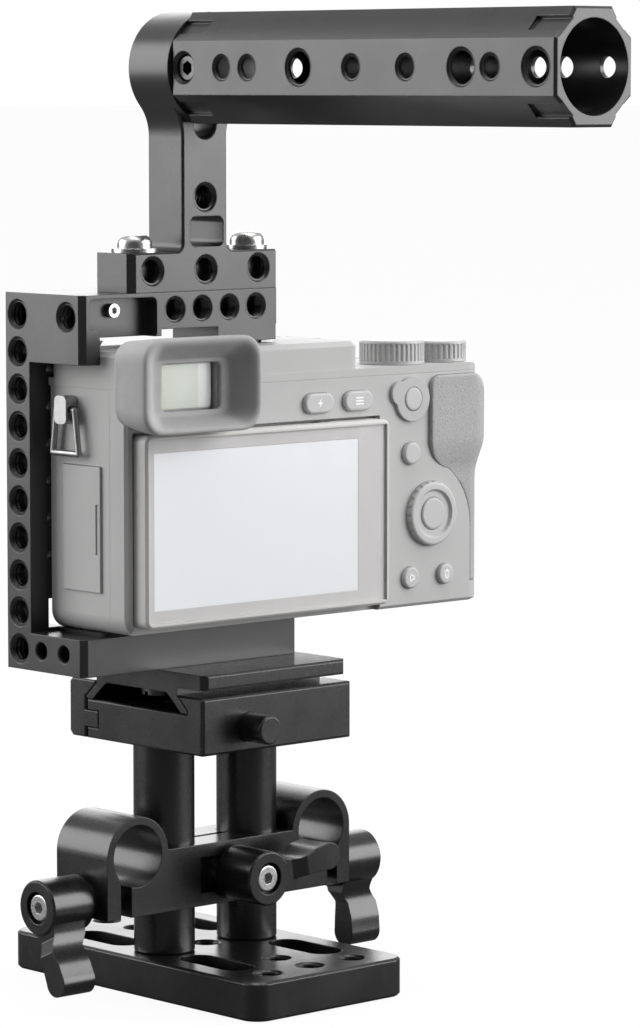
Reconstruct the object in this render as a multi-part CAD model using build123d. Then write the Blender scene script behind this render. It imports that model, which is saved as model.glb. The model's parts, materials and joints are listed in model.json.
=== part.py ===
from build123d import *
import math
import os

# Camera rig: baseplate, two posts, sliding rod clamp, quick release, half cage,
# top handle and a mirrorless camera body.  Millimetres.  +X right, +Y forward
# (the way the lens looks), +Z up.  Origin: centre of the baseplate's bottom face.

# ---------------------------------------------------------------- dimensions
RUN_FIT = 0.05            # radial clearance of everything that turns or slides
SEAT_FIT = 0.02           # clearance of fixed pieces that sit in one another

ROD_R = 7.5               # 15 mm support rods and posts
ROD_PITCH = 60.0          # standard spacing of the two camera support rods
POST_X = 13.5             # posts stand this far each side of the centre

BASE_X = 25.0             # half width of the baseplate
BASE_Y = 46.5             # half length of the baseplate
BASE_T = 9.5
BASE_CORNER = 5.0
TAP_R = 3.2               # 1/4 inch accessory holes
BASE_TAP_X = 13.6         # end rows of accessory holes
BASE_TAP_Y = 38.2
BASE_INNER_Y = 26.2
SLOT_X = 14.5
SLOT_Y = 20.6
SLOT_LENGTH = 22.5
SLOT_WIDTH = 9.4
TAP_SINK = 3.7            # mouth radius of their countersinks

POST_TOP = 61.5           # underside of the quick release
ROD_Z = 36.0              # height of the support rod axes
CLAMP_Y = 9.6             # half depth of the rod clamp
CLAMP_X = 39.6            # half width of the rod clamp
CLAMP_FOOT = 21.2         # underside of the rod clamp
BEAM_TOP = 36.5
RING_R = 9.6              # outside radius of the rod rings
SLIT_IN = 32.0            # the clamping slit runs between these two distances
SLIT_OUT = 35.4
CLAMP_SCREW_Z = 25.0
CLAMP_SCREW_R = 2.5
POST_LEVER_Z = 28.7

LEVER_HUB_R = 6.7
LEVER_HUB_L = 12.7
LEVER_ARM = 19.0          # hub centre to the centre of the paddle's round end
LEVER_TIP_R = 3.3
LEVER_NECK_AT = 10.0
LEVER_NECK = 2.1          # half thickness of the neck
WASHER_R = 4.8
WASHER_T = 1.3

QR_X = 24.2               # half width of the quick release
QR_BACK = -26.9
QR_FRONT = 16.5
QR_FLOOR = 71.2           # floor of the dovetail channel
QR_WALL_TOP = 75.4
LIP_Y = -17.2             # rear lip, at its top edge
LIP_ROOT_Y = -21.0        # rear lip, at its root
LIP_ROOT_Z = 71.9
JAW_LIP_Y = 12.9
JAW_ROOT_Y = 16.7
JAW_BACK = 17.1
JAW_FRONT = 23.2
JAW_TOP = 76.0
JAW_SCREW_Z = 66.3
TONGUE_H = 4.0
TONGUE_GAP = 0.25         # the jaw's tongue is a loose fit in its groove
BUTTON_X = -9.6
BUTTON_Z = 67.4
BUTTON_R = 3.5

PLATE_LEFT = -24.1
PLATE_BACK = -27.2
PLATE_SCREWS = (-16.0, 14.5)
PLATE_RIGHT = 22.6
PLATE_UNDER = 77.3
CAGE_FOOT = 81.0
CAGE_TOP = 171.8
CAGE_LEFT = -47.7
CAGE_BACK = -10.85
CAGE_FRONT = 17.8
BAR_TOP = 90.0
BAR_RIGHT = 19.9
COLUMN_Y = 8.9
COLUMN_RIGHT = -37.5
ARM_RIGHT = -42.2
HOLE_PITCH = 8.96
HOLE_Z = 85.9
TOP_BAR_Z = 161.4
BLOCK_LEFT = -23.0
BLOCK_RIGHT = 13.9
BLOCK_Z = 163.0
TOP_HOLE_Z = 167.6
TOP_HOLES = (-18.7, -10.1, -1.4, 7.2)
LUG_LEFT = -5.0
LUG_RIGHT = 13.7
LUG_Z = 159.2
SHOE_W = 18.5             # width of the foot in the accessory shoe
RECESS = 4.3              # depth of the recess in the back of the top bar

FOOT_LEFT = -32.4
FOOT_TOP = 181.3
HANDLE_X = -8.9
HANDLE_Z = 225.2
BRACKET_BACK = -10.7
BRACKET_FRONT = 2.3
BRACKET_HALF = 7.15       # half width of the upright
KNUCKLE_R = 13.4
KNUCKLE_BACK = -12.5
UPRIGHT_HOLES = (194.3, 211.7)
FOOT_HOLES = (-25.6, -8.7, 8.2)
FOOT_HOLE_Z = 176.9
HANDLE_SCREWS = (-25.7, 10.2)
HANDLE_SCREW_Y = -4.2

TUBE_END = -140.0
TUBE_BORE = 10.7
TUBE_HALF_W = 12.15
TUBE_HALF_H = 13.2
TUBE_SIDE = 6.4           # half height of the side flats
TUBE_FLAT = 6.0           # half width of the top and bottom flats
TUBE_SMALL_R = 2.9
TUBE_LARGE_R = 4.2
TUBE_RIGHT_R = 2.4        # smaller holes on the right side
TUBE_SMALL = (-30.4, -39.4, -75.0, -92.8, -119.8)
TUBE_LARGE = (-57.2, -110.7, -134.0)
TUBE_RIGHT = (-31.3, -40.6, -58.4, -75.8, -92.8, -112.4, -120.8, -133.8)
RELIEF_HALF = 2.1         # milled relief at both ends of each bevel
RELIEF_AT = 12.25
SET_SCREW_Y = -16.8
SET_SCREW_FACE = 10.9

CAM_LEFT = -42.0
CAM_RIGHT = 76.2
CAM_CORNER = 5.0          # upright edge at the rear right
CAM_FOOT = 91.0
CAM_DECK = 151.5          # lower deck, under the dials
CAM_TOP = 158.4
CAM_BACK = -20.0
CAM_FRONT = 8.7
COVER_Y = -14.0           # joint between rear cover and front shell
SEAM_Z = 149.5            # joint between them and the top cover
LENS_X = 4.3
LENS_Z = 123.0
THROAT_R = 23.0
MOUNT_FACE = 13.5
SCREW_X = 4.3             # camera screw
SCREW_Y = -4.0
SHELL_WALL = 2.0

EYE_X = -26.7             # viewfinder window
EYE_Z = 150.2
EYE_LEFT = -39.0
EYE_RIGHT = -14.5
EYE_LOW = 142.3
EYE_HIGH = 159.8
EYE_BACK = -25.0
EYECUP_BACK = -33.0

SCREEN_LEFT = -39.5
SCREEN_RIGHT = 39.7
SCREEN_LOW = 93.0
SCREEN_HIGH = 139.0
SCREEN_BACK = -24.5
SCREEN_FACE = -19.2
LCD_LEFT = -36.5
LCD_RIGHT = 29.3
LCD_LOW = 97.2
LCD_HIGH = 134.7
ARM_PIVOT = (-19.9, 138.2)    # y and z of the hinge at the top of the screen arm
TILT_PIVOT = (-18.4, 94.0)    # y and z of the hinge at its foot
PIVOT_R = 0.5

WHEEL_X = 57.6
WHEEL_Z = 114.1
WHEEL_R = 8.1
CENTRE_R = 4.1
THUMB_SEAT = -18.6
THUMB_BACK = -21.2
THUMB_WRAP = 1.4          # thickness of the thumb rest round the corner
THUMB_BULGE = 3.0         # the pad stands this far out of the camera's right side
THUMB_STEP_Z = 122.0      # the pad is proud above this height and flush below it
BUTTON_OUT = 1.2          # buttons stand this far proud of the rear cover
BUTTON_IN = -17.5
BUTTON_POCKET = -16.0
PILLS = {"flash_button": (19.1, 143.7), "menu_button": (32.3, 143.7)}
PILL_L = 9.6
PILL_H = 5.0
ROUNDS = {
    "fn_button": (50.6, 129.6, 2.8),
    "play_button": (50.4, 98.4, 2.75),
    "trash_button": (62.4, 98.5, 2.6),
    "ael_button": (50.9, 143.2, 3.0),
}
MODE_DIAL = (53.4, -10.4, 8.2)
CONTROL_DIAL = (69.1, -11.0, 7.0)
SHUTTER = (64.0, 19.5)
FLASH_PIVOT = (-5.9, 157.5)   # y and z of the flash head's hinge
GRIP_LEFT = 47.0
GRIP_FRONT = 31.0
GRIP_TOP = 148.0


# ------------------------------------------------------------------- helpers
def block(x0, x1, y0, y1, z0, z1):
    """Box between two opposite corners."""
    centre = Pos((x0 + x1) / 2, (y0 + y1) / 2, (z0 + z1) / 2)
    return centre * Box(x1 - x0, y1 - y0, z1 - z0)


def along_x(x0, x1, y, z, r, r2=None):
    """Cylinder, or cone when r2 is given, from x0 to x1."""
    return turned(Plane(origin=(x0, y, z), z_dir=(1, 0, 0)), x1 - x0, r, r2)


def along_y(y0, y1, x, z, r, r2=None):
    """Cylinder, or cone when r2 is given, from y0 to y1."""
    return turned(Plane(origin=(x, y0, z), z_dir=(0, 1, 0)), y1 - y0, r, r2)


def along_z(z0, z1, x, y, r, r2=None):
    """Cylinder, or cone when r2 is given, from z0 to z1."""
    return turned(Plane(origin=(x, y, z0), z_dir=(0, 0, 1)), z1 - z0, r, r2)


def turned(plane, length, r, r2):
    """Round solid standing on a plane."""
    if r2 is None:
        return plane * Pos(0, 0, length / 2) * Cylinder(r, length)
    return plane * Pos(0, 0, length / 2) * Cone(r, r2, length)


def hexagon(plane, across, depth):
    """Hexagonal bar for a socket, standing on a plane."""
    return extrude(plane * RegularPolygon(across / math.sqrt(3), 6), depth)


def tapped_x(x_mouth, length, y, z, r=TAP_R, sink=0.5):
    """Accessory hole with a countersunk mouth at x_mouth, running length along X."""
    step = math.copysign(1, length)
    hole = along_x(min(x_mouth, x_mouth + length), max(x_mouth, x_mouth + length), y, z, r)
    plane = Plane(origin=(x_mouth, y, z), z_dir=(step, 0, 0))
    return hole + turned(plane, sink, r + sink, r)


def tapped_y(y_mouth, length, x, z, r=TAP_R, sink=0.5):
    """Accessory hole with a countersunk mouth at y_mouth, running length along Y."""
    step = math.copysign(1, length)
    hole = along_y(min(y_mouth, y_mouth + length), max(y_mouth, y_mouth + length), x, z, r)
    plane = Plane(origin=(x, y_mouth, z), z_dir=(0, step, 0))
    return hole + turned(plane, sink, r + sink, r)


def outline_x(points, x0, x1):
    """Extrude a closed outline of (y, z) points from x0 to x1."""
    wire = Polyline(*[(x0, y, z) for y, z in points], close=True)
    return extrude(make_face(wire), x1 - x0, dir=(1, 0, 0))


def edges_at(part, axis, low, high, direction=None):
    """Edges whose centre lies between low and high along an axis."""
    found = part.edges()
    if direction is not None:
        found = found.filter_by(direction)
    picked = []
    for edge in found:
        place = edge.center()
        value = {"x": place.X, "y": place.Y, "z": place.Z}[axis]
        if low <= value <= high:
            picked.append(edge)
    return ShapeList(picked)


def rounded(x0, x1, y0, y1, z0, z1, radius, axis):
    """Box with the four edges along one axis rounded."""
    part = block(x0, x1, y0, y1, z0, z1)
    return fillet(part.edges().filter_by(axis), radius)


def save(name, shape):
    """Write one sub-part."""
    shape.label = name
    export_step(shape, os.path.join("parts", name + ".step"))


# -------------------------------------------------------- baseplate and posts
def make_baseplate():
    plate = rounded(-BASE_X, BASE_X, -BASE_Y, BASE_Y, 0, BASE_T, BASE_CORNER, Axis.Z)
    plate = chamfer(plate.edges().group_by(Axis.Z)[-1], 0.6)
    plate = chamfer(plate.edges().group_by(Axis.Z)[0], 0.6)
    for sx in (-1, 1):
        for sy in (-1, 1):
            slot = Pos(sx * SLOT_X, sy * SLOT_Y, -1) * SlotOverall(SLOT_LENGTH, SLOT_WIDTH, rotation=90)
            plate -= extrude(slot, BASE_T + 2)
        plate -= along_z(-1, BASE_T + 1, sx * POST_X, 0, 3.2)
        plate -= along_z(0, 3.2, sx * POST_X, 0, 6.2, 3.2)
    taps = [(0, -BASE_INNER_Y), (0, BASE_INNER_Y), (0, 0)]
    for sy in (-1, 1):
        taps += [(x, sy * BASE_TAP_Y) for x in (-BASE_TAP_X, 0, BASE_TAP_X)]
    for x, y in taps:
        plate -= along_z(-1, BASE_T + 1, x, y, TAP_R)
        plate -= along_z(BASE_T - 0.5, BASE_T, x, y, TAP_R, TAP_SINK)
    return plate


def make_post(side):
    post = along_z(BASE_T, POST_TOP, side * POST_X, 0, ROD_R)
    post = chamfer(post.edges().filter_by(GeomType.CIRCLE), 0.4)
    for z0, z1 in ((BASE_T - 1, BASE_T + 13), (POST_TOP - 13, POST_TOP + 1)):
        post -= along_z(z0, z1, side * POST_X, 0, 3.0 + SEAT_FIT)
    return post


def flat_screw(x, z_head, z_tip, head_r, shank_r):
    """Countersunk hex socket screw on a vertical axis."""
    step = math.copysign(1, z_tip - z_head)
    head = turned(Plane(origin=(x, 0, z_head), z_dir=(0, 0, step)), head_r - shank_r, head_r, shank_r)
    shank = along_z(min(z_head, z_tip), max(z_head, z_tip), x, 0, shank_r)
    socket = hexagon(Plane(origin=(x, 0, z_head), z_dir=(0, 0, step)), 4.0, 2.2)
    return head + shank - socket


def make_post_screws():
    screws = []
    for side in (-1, 1):
        screws.append(flat_screw(side * POST_X, 0.25, BASE_T + 12, 5.9, 3.0))
        screws.append(flat_screw(side * POST_X, QR_FLOOR - 0.25, POST_TOP - 12, 5.9, 3.0))
    return Compound(children=screws)


# ------------------------------------------------------------------ rod clamp
def make_rod_clamp():
    clamp = block(-SLIT_IN, SLIT_IN, -CLAMP_Y, CLAMP_Y, CLAMP_FOOT, BEAM_TOP)
    for side in (-1, 1):
        x = side * ROD_PITCH / 2
        clamp += along_y(-CLAMP_Y, CLAMP_Y, x, ROD_Z, RING_R)
        inner, outer = sorted((x, side * CLAMP_X))
        clamp += block(inner, outer, -CLAMP_Y, CLAMP_Y, CLAMP_FOOT, ROD_Z)
    for side in (-1, 1):
        x = side * ROD_PITCH / 2
        clamp -= along_y(-CLAMP_Y - 1, CLAMP_Y + 1, x, ROD_Z, ROD_R + 0.1)
        inner, outer = sorted((side * SLIT_IN, side * SLIT_OUT))
        clamp -= block(inner, outer, -CLAMP_Y - 1, CLAMP_Y + 1, CLAMP_FOOT - 1, ROD_Z - 5)
        start, stop = sorted((side * 22.0, side * (CLAMP_X + 1)))
        clamp -= along_x(start, stop, 0, CLAMP_SCREW_Z, CLAMP_SCREW_R + RUN_FIT)
        clamp -= along_z(CLAMP_FOOT - 1, ROD_Z + RING_R + 1, side * POST_X, 0, ROD_R + RUN_FIT)
    clamp -= block(-POST_X, POST_X, -0.8, 0.8, CLAMP_FOOT - 1, BEAM_TOP + 1)
    clamp -= block(-10, 10, -CLAMP_Y - 1, -CLAMP_Y + 2, 24.4, 33.2)
    clamp -= along_y(-CLAMP_Y, CLAMP_Y - 2, 0, POST_LEVER_Z, CLAMP_SCREW_R + RUN_FIT)
    return clamp


def make_washers():
    """One washer under each lever's hub."""
    hole = CLAMP_SCREW_R + RUN_FIT
    washers = []
    for side in (-1, 1):
        start, stop = sorted((side * CLAMP_X, side * (CLAMP_X + WASHER_T)))
        ring = along_x(start, stop, 0, CLAMP_SCREW_Z, WASHER_R)
        washers.append(ring - along_x(start - 1, stop + 1, 0, CLAMP_SCREW_Z, hole))
    pocket = -CLAMP_Y + 2
    back = -CLAMP_Y - WASHER_T
    ring = along_y(back, pocket, 0, POST_LEVER_Z, 4.2)
    washers.append(ring - along_y(back - 1, pocket + 1, 0, POST_LEVER_Z, hole))
    return Compound(children=washers)


def lever_in_own_frame():
    """Clamping lever.  Hub axis along +Z from z = 0, paddle arm along +X."""
    hub = along_z(0, LEVER_HUB_L, 0, 0, LEVER_HUB_R)
    hub = chamfer(hub.edges().filter_by(GeomType.CIRCLE), 0.4)
    tip = (LEVER_ARM, 0.9)
    upper = Spline(
        (4.4, 4.6), (LEVER_NECK_AT, LEVER_NECK + 0.5), (LEVER_ARM - 4.5, 3.9), (LEVER_ARM - 0.4, 4.3),
        tangents=[(1, -0.7), (1, 0.1)],
    )
    nose = ThreePointArc((LEVER_ARM - 0.4, 4.3), (LEVER_ARM + LEVER_TIP_R, tip[1]), (LEVER_ARM - 0.9, -2.3))
    lower = Spline(
        (LEVER_ARM - 0.9, -2.3), (LEVER_NECK_AT, -LEVER_NECK), (4.4, -4.6),
        tangents=[(-1, 0), (-1, -0.7)],
    )
    root = Line((4.4, -4.6), (4.4, 4.6))
    blade = extrude(make_face(Wire([upper, nose, lower, root])), 20)
    # Seen from the side the arm is a 10 mm wide strap that steps outwards after the neck.
    strap = Polyline(
        (2, 0, 2.6), (8.4, 0, 2.6), (11.2, 0, 4.6), (30, 0, 4.9), (30, 0, 14.4), (11.6, 0, 14.2),
        (8.2, 0, 12.2), (2, 0, 12.2), close=True,
    )
    side_view = Pos(0, 15, 0) * extrude(make_face(strap), 30, dir=(0, -1, 0))
    arm = blade & side_view
    lever = hub + arm
    lever -= along_z(-1, LEVER_HUB_L + 1, 0, 0, CLAMP_SCREW_R + SEAT_FIT)
    lever -= along_z(LEVER_HUB_L - 2.2, LEVER_HUB_L + 1, 0, 0, 3.9)
    return lever


def lever_screw(length):
    """Clamp screw in the lever's own frame: round head in the hub, shank out of the back."""
    head = along_z(LEVER_HUB_L - 2.2, LEVER_HUB_L - 0.5, 0, 0, 3.3)
    head = fillet(head.edges().group_by(Axis.Z)[-1], 0.5)
    shank = along_z(-length, LEVER_HUB_L - 2.2, 0, 0, CLAMP_SCREW_R)
    socket = hexagon(Plane(origin=(0, 0, LEVER_HUB_L - 2.0)), 2.6, 3)
    return head + shank - socket


def side_lever_place(side, lean):
    """Frame of a side lever: hub axis outwards, arm down and leaning back by lean degrees."""
    drop = math.radians(lean)
    return Plane(
        origin=(side * (CLAMP_X + WASHER_T + RUN_FIT), 0, CLAMP_SCREW_Z),
        x_dir=(0, -math.sin(drop), -math.cos(drop)),
        z_dir=(side, 0, 0),
    )


def post_lever_place(rise):
    """Frame of the middle lever: hub axis backwards, arm to the right and up by rise degrees."""
    lift = math.radians(rise)
    return Plane(
        origin=(0, -CLAMP_Y - WASHER_T - RUN_FIT, POST_LEVER_Z),
        x_dir=(math.cos(lift), 0, math.sin(lift)),
        z_dir=(0, -1, 0),
    )


# -------------------------------------------------------------- quick release
def make_release_base():
    outline = [
        (QR_BACK, POST_TOP), (QR_FRONT, POST_TOP), (QR_FRONT, QR_FLOOR), (LIP_ROOT_Y, QR_FLOOR),
        (LIP_ROOT_Y, LIP_ROOT_Z), (LIP_Y, QR_WALL_TOP), (QR_BACK, QR_WALL_TOP),
    ]
    base = outline_x(outline, -QR_X, QR_X)
    base = chamfer(edges_at(base, "y", QR_BACK - 0.1, QR_BACK + 0.1), 0.6)
    base = chamfer(edges_at(base, "x", QR_X - 0.05, QR_X + 0.05), 0.4)
    base = chamfer(edges_at(base, "x", -QR_X - 0.05, -QR_X + 0.05), 0.4)
    groove_z = JAW_SCREW_Z - TONGUE_H / 2 - TONGUE_GAP
    base -= block(-QR_X - 1, QR_X + 1, 12.0, QR_FRONT + 1, groove_z, groove_z + TONGUE_H + 2 * TONGUE_GAP)
    base -= along_y(-2, QR_FRONT + 1, 0, JAW_SCREW_Z, CLAMP_SCREW_R + RUN_FIT)
    base -= along_y(QR_BACK - 1, -16.0, BUTTON_X, BUTTON_Z, BUTTON_R + RUN_FIT)
    for side in (-1, 1):
        base -= along_z(POST_TOP - 1, QR_FLOOR + 1, side * POST_X, 0, 3.2)
        base -= along_z(QR_FLOOR - 3.2, QR_FLOOR, side * POST_X, 0, 3.2, 6.2)
    return base


def make_release_jaw():
    outline = [
        (JAW_BACK, POST_TOP), (JAW_FRONT - 1, POST_TOP), (JAW_FRONT, POST_TOP + 1),
        (JAW_FRONT, JAW_TOP - 1), (JAW_FRONT - 1, JAW_TOP), (JAW_LIP_Y + 0.6, JAW_TOP),
        (JAW_LIP_Y, QR_WALL_TOP), (JAW_ROOT_Y, LIP_ROOT_Z), (JAW_BACK, LIP_ROOT_Z),
    ]
    jaw = outline_x(outline, -QR_X, QR_X)
    jaw = chamfer(edges_at(jaw, "x", QR_X - 0.05, QR_X + 0.05), 0.4)
    jaw = chamfer(edges_at(jaw, "x", -QR_X - 0.05, -QR_X + 0.05), 0.4)
    tongue_z = JAW_SCREW_Z - TONGUE_H / 2
    jaw += block(-QR_X, QR_X, 12.4, JAW_BACK + 1, tongue_z, tongue_z + TONGUE_H)
    jaw -= along_y(10, JAW_FRONT + 1, 0, JAW_SCREW_Z, CLAMP_SCREW_R + RUN_FIT)
    return jaw


def make_jaw_knob():
    knob = along_y(JAW_FRONT + RUN_FIT, JAW_FRONT + 11, 0, JAW_SCREW_Z, 6.4)
    flutes = 16
    for i in range(flutes):
        angle = 2 * math.pi * i / flutes
        x = 6.9 * math.cos(angle)
        z = JAW_SCREW_Z + 6.9 * math.sin(angle)
        knob -= along_y(JAW_FRONT + 2, JAW_FRONT + 12, x, z, 0.9)
    knob -= along_y(JAW_FRONT - 1, JAW_FRONT + 12, 0, JAW_SCREW_Z, CLAMP_SCREW_R + SEAT_FIT)
    return knob


def make_jaw_screw():
    screw = along_y(0, JAW_FRONT + 11.6, 0, JAW_SCREW_Z, CLAMP_SCREW_R)
    screw = chamfer(screw.edges().filter_by(GeomType.CIRCLE), 0.4)
    return screw


def make_lock_button():
    button = along_y(-35.0, -19.2, BUTTON_X, BUTTON_Z, BUTTON_R)
    return chamfer(button.edges().filter_by(GeomType.CIRCLE), 0.4)


def make_release_plate():
    gap = RUN_FIT
    rear_root = LIP_ROOT_Y + gap
    rear_lip = LIP_Y + gap
    front_root = JAW_ROOT_Y - gap
    front_lip = JAW_LIP_Y - gap
    outline = [
        (PLATE_BACK, PLATE_UNDER), (rear_lip, PLATE_UNDER), (rear_lip, QR_WALL_TOP - gap),
        (rear_root, LIP_ROOT_Z - gap), (rear_root, QR_FLOOR + gap), (rear_root + 2.2, QR_FLOOR + gap),
        (rear_root + 6.0, 74.6), (rear_root + 7.6, 75.8), (front_root - 7.6, 75.8),
        (front_root - 6.0, 74.6), (front_root - 2.2, QR_FLOOR + gap), (front_root, QR_FLOOR + gap), (front_root, LIP_ROOT_Z - gap), (front_lip, QR_WALL_TOP - gap),
        (front_lip, PLATE_UNDER), (16.0, PLATE_UNDER), (16.0, CAGE_FOOT), (PLATE_BACK, CAGE_FOOT),
    ]
    plate = outline_x(outline, PLATE_LEFT, PLATE_RIGHT)
    corners = edges_at(plate, "y", PLATE_BACK - 0.1, PLATE_BACK + 0.1, Axis.Z)
    plate = chamfer(corners, 1.5)
    plate = chamfer(edges_at(plate, "y", PLATE_BACK - 0.1, PLATE_BACK + 0.1, Axis.X), 0.5)
    for x in PLATE_SCREWS:
        plate -= along_z(70, CAGE_FOOT + 1, x, -2, 3.2)
    return plate


def make_plate_screws():
    screws = []
    for x in PLATE_SCREWS:
        head = along_z(73.6, 75.8, x, -2, 4.8)
        shank = along_z(75.8, 87.0, x, -2, 3.2 - SEAT_FIT)
        slot = block(x - 5, x + 5, -2.6, -1.4, 73, 74.5)
        screws.append(head + shank - slot)
    return Compound(children=screws)


# ----------------------------------------------------------------------- cage
def make_cage():
    cage = block(CAGE_LEFT, COLUMN_RIGHT, COLUMN_Y, CAGE_FRONT, CAGE_FOOT, CAGE_TOP)
    cage += block(CAGE_LEFT, BAR_RIGHT, CAGE_BACK, CAGE_FRONT, CAGE_FOOT, BAR_TOP)
    cage += block(CAGE_LEFT, ARM_RIGHT, CAGE_BACK, COLUMN_Y + 1, 155.3, CAGE_TOP)
    cage += block(CAGE_LEFT, BLOCK_LEFT, CAGE_BACK, CAGE_FRONT, TOP_BAR_Z, CAGE_TOP)
    cage += block(BLOCK_LEFT, BLOCK_RIGHT, CAGE_BACK, CAGE_FRONT, BLOCK_Z, CAGE_TOP)
    # Foot that slides into the camera's accessory shoe.
    cage += block(LUG_LEFT, LUG_RIGHT, CAGE_BACK, 6.0, LUG_Z, BLOCK_Z + 1)
    cage += block(LENS_X - 6.0, LENS_X + 6.0, -8.4, 6.0, CAM_TOP - 1.0, LUG_Z + 1)
    cage += block(LENS_X - SHOE_W / 2, LENS_X + SHOE_W / 2, -8.4, 6.0, CAM_TOP - 1.5, CAM_TOP - 0.1)
    # Rounded inner corner between the upper block and the top bar.
    inner = edges_at(cage, "x", ARM_RIGHT - 0.1, ARM_RIGHT + 0.1, Axis.Y)
    cage = fillet(inner.group_by(Axis.Z)[-1], 2.5)
    # Open recess in the back of the top bar, under a thin lip.
    floor = CAGE_BACK + RECESS
    recess = rounded(-45.4, -24.4, CAGE_BACK - 6, floor, TOP_BAR_Z - 0.4, 170.8, 1.5, Axis.Y)
    cage -= recess - block(-46, ARM_RIGHT, CAGE_BACK - 1, floor + 1, 150, 163.6)
    # Cut-out at the foot of the column, beside the bottom bar.
    cage -= block(ARM_RIGHT, COLUMN_RIGHT + 1, COLUMN_Y - 1, CAGE_FRONT + 1, BAR_TOP + 1, 98.0)
    for k in range(10):
        z = HOLE_Z + k * HOLE_PITCH
        cage -= tapped_x(CAGE_LEFT, COLUMN_RIGHT - CAGE_LEFT + 1, 13.35, z)
        if 1 < k < 8:
            cage -= along_y(COLUMN_Y - 1, CAGE_FRONT + 1, -41.0, z + HOLE_PITCH / 2, 1.6)
    cage -= tapped_x(CAGE_LEFT, 5.0, -5.0, 166.5)
    for y in (5.1, -3.4):
        cage -= tapped_x(CAGE_LEFT, 8.0, y, 86.0, 2.0, 0.3)
    for x in TOP_HOLES:
        cage -= tapped_y(CAGE_BACK, 4.4, x, TOP_HOLE_Z, 2.9, 0.4)
    for x in HANDLE_SCREWS:
        cage -= along_z(164.0, CAGE_TOP + 1, x, HANDLE_SCREW_Y, 2.0 + SEAT_FIT)
    for x in PLATE_SCREWS:
        cage -= along_z(CAGE_FOOT - 1, 88.0, x, -2, 3.2)
    cage -= along_z(CAGE_FOOT - 1, 83.4, SCREW_X, SCREW_Y, 5.2)
    cage -= along_z(CAGE_FOOT - 1, BAR_TOP + 1, SCREW_X, SCREW_Y, 3.25)
    for x in (-30.0, -12.0, 6.0):
        cage -= tapped_y(CAGE_FRONT, -5.0, x, 86.0, 2.6, 0.4)
    rear_edge = [
        e for e in cage.edges().filter_by(Axis.Z)
        if abs(e.center().X - CAGE_LEFT) < 0.05 and abs(e.center().Y - CAGE_BACK) < 0.05
    ]
    cage = chamfer(ShapeList(rear_edge), 1.4)
    return cage


def make_cage_screw():
    """Small cap screw in the recess of the top bar."""
    x, z = (-35.4, 167.8)
    face = CAGE_BACK + RECESS - 1.6
    screw = along_y(face, CAGE_BACK + RECESS, x, z, 1.7)
    socket = hexagon(Plane(origin=(x, face, z), z_dir=(0, 1, 0)), 1.5, 0.9)
    return screw - socket


def make_camera_screw():
    head = along_z(CAGE_FOOT + 0.3, 83.4, SCREW_X, SCREW_Y, 5.0)
    shank = along_z(83.4, 96.0, SCREW_X, SCREW_Y, 3.2 - SEAT_FIT)
    socket = hexagon(Plane(origin=(SCREW_X, SCREW_Y, CAGE_FOOT)), 4.0, 1.8)
    return head + shank - socket


def make_camera_pad():
    pad = rounded(-40.0, 18.0, -10.0, COLUMN_Y - 0.2, BAR_TOP, CAM_FOOT, 2.0, Axis.Z)
    return pad - along_z(BAR_TOP - 1, CAM_FOOT + 1, SCREW_X, SCREW_Y, 3.6)


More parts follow.
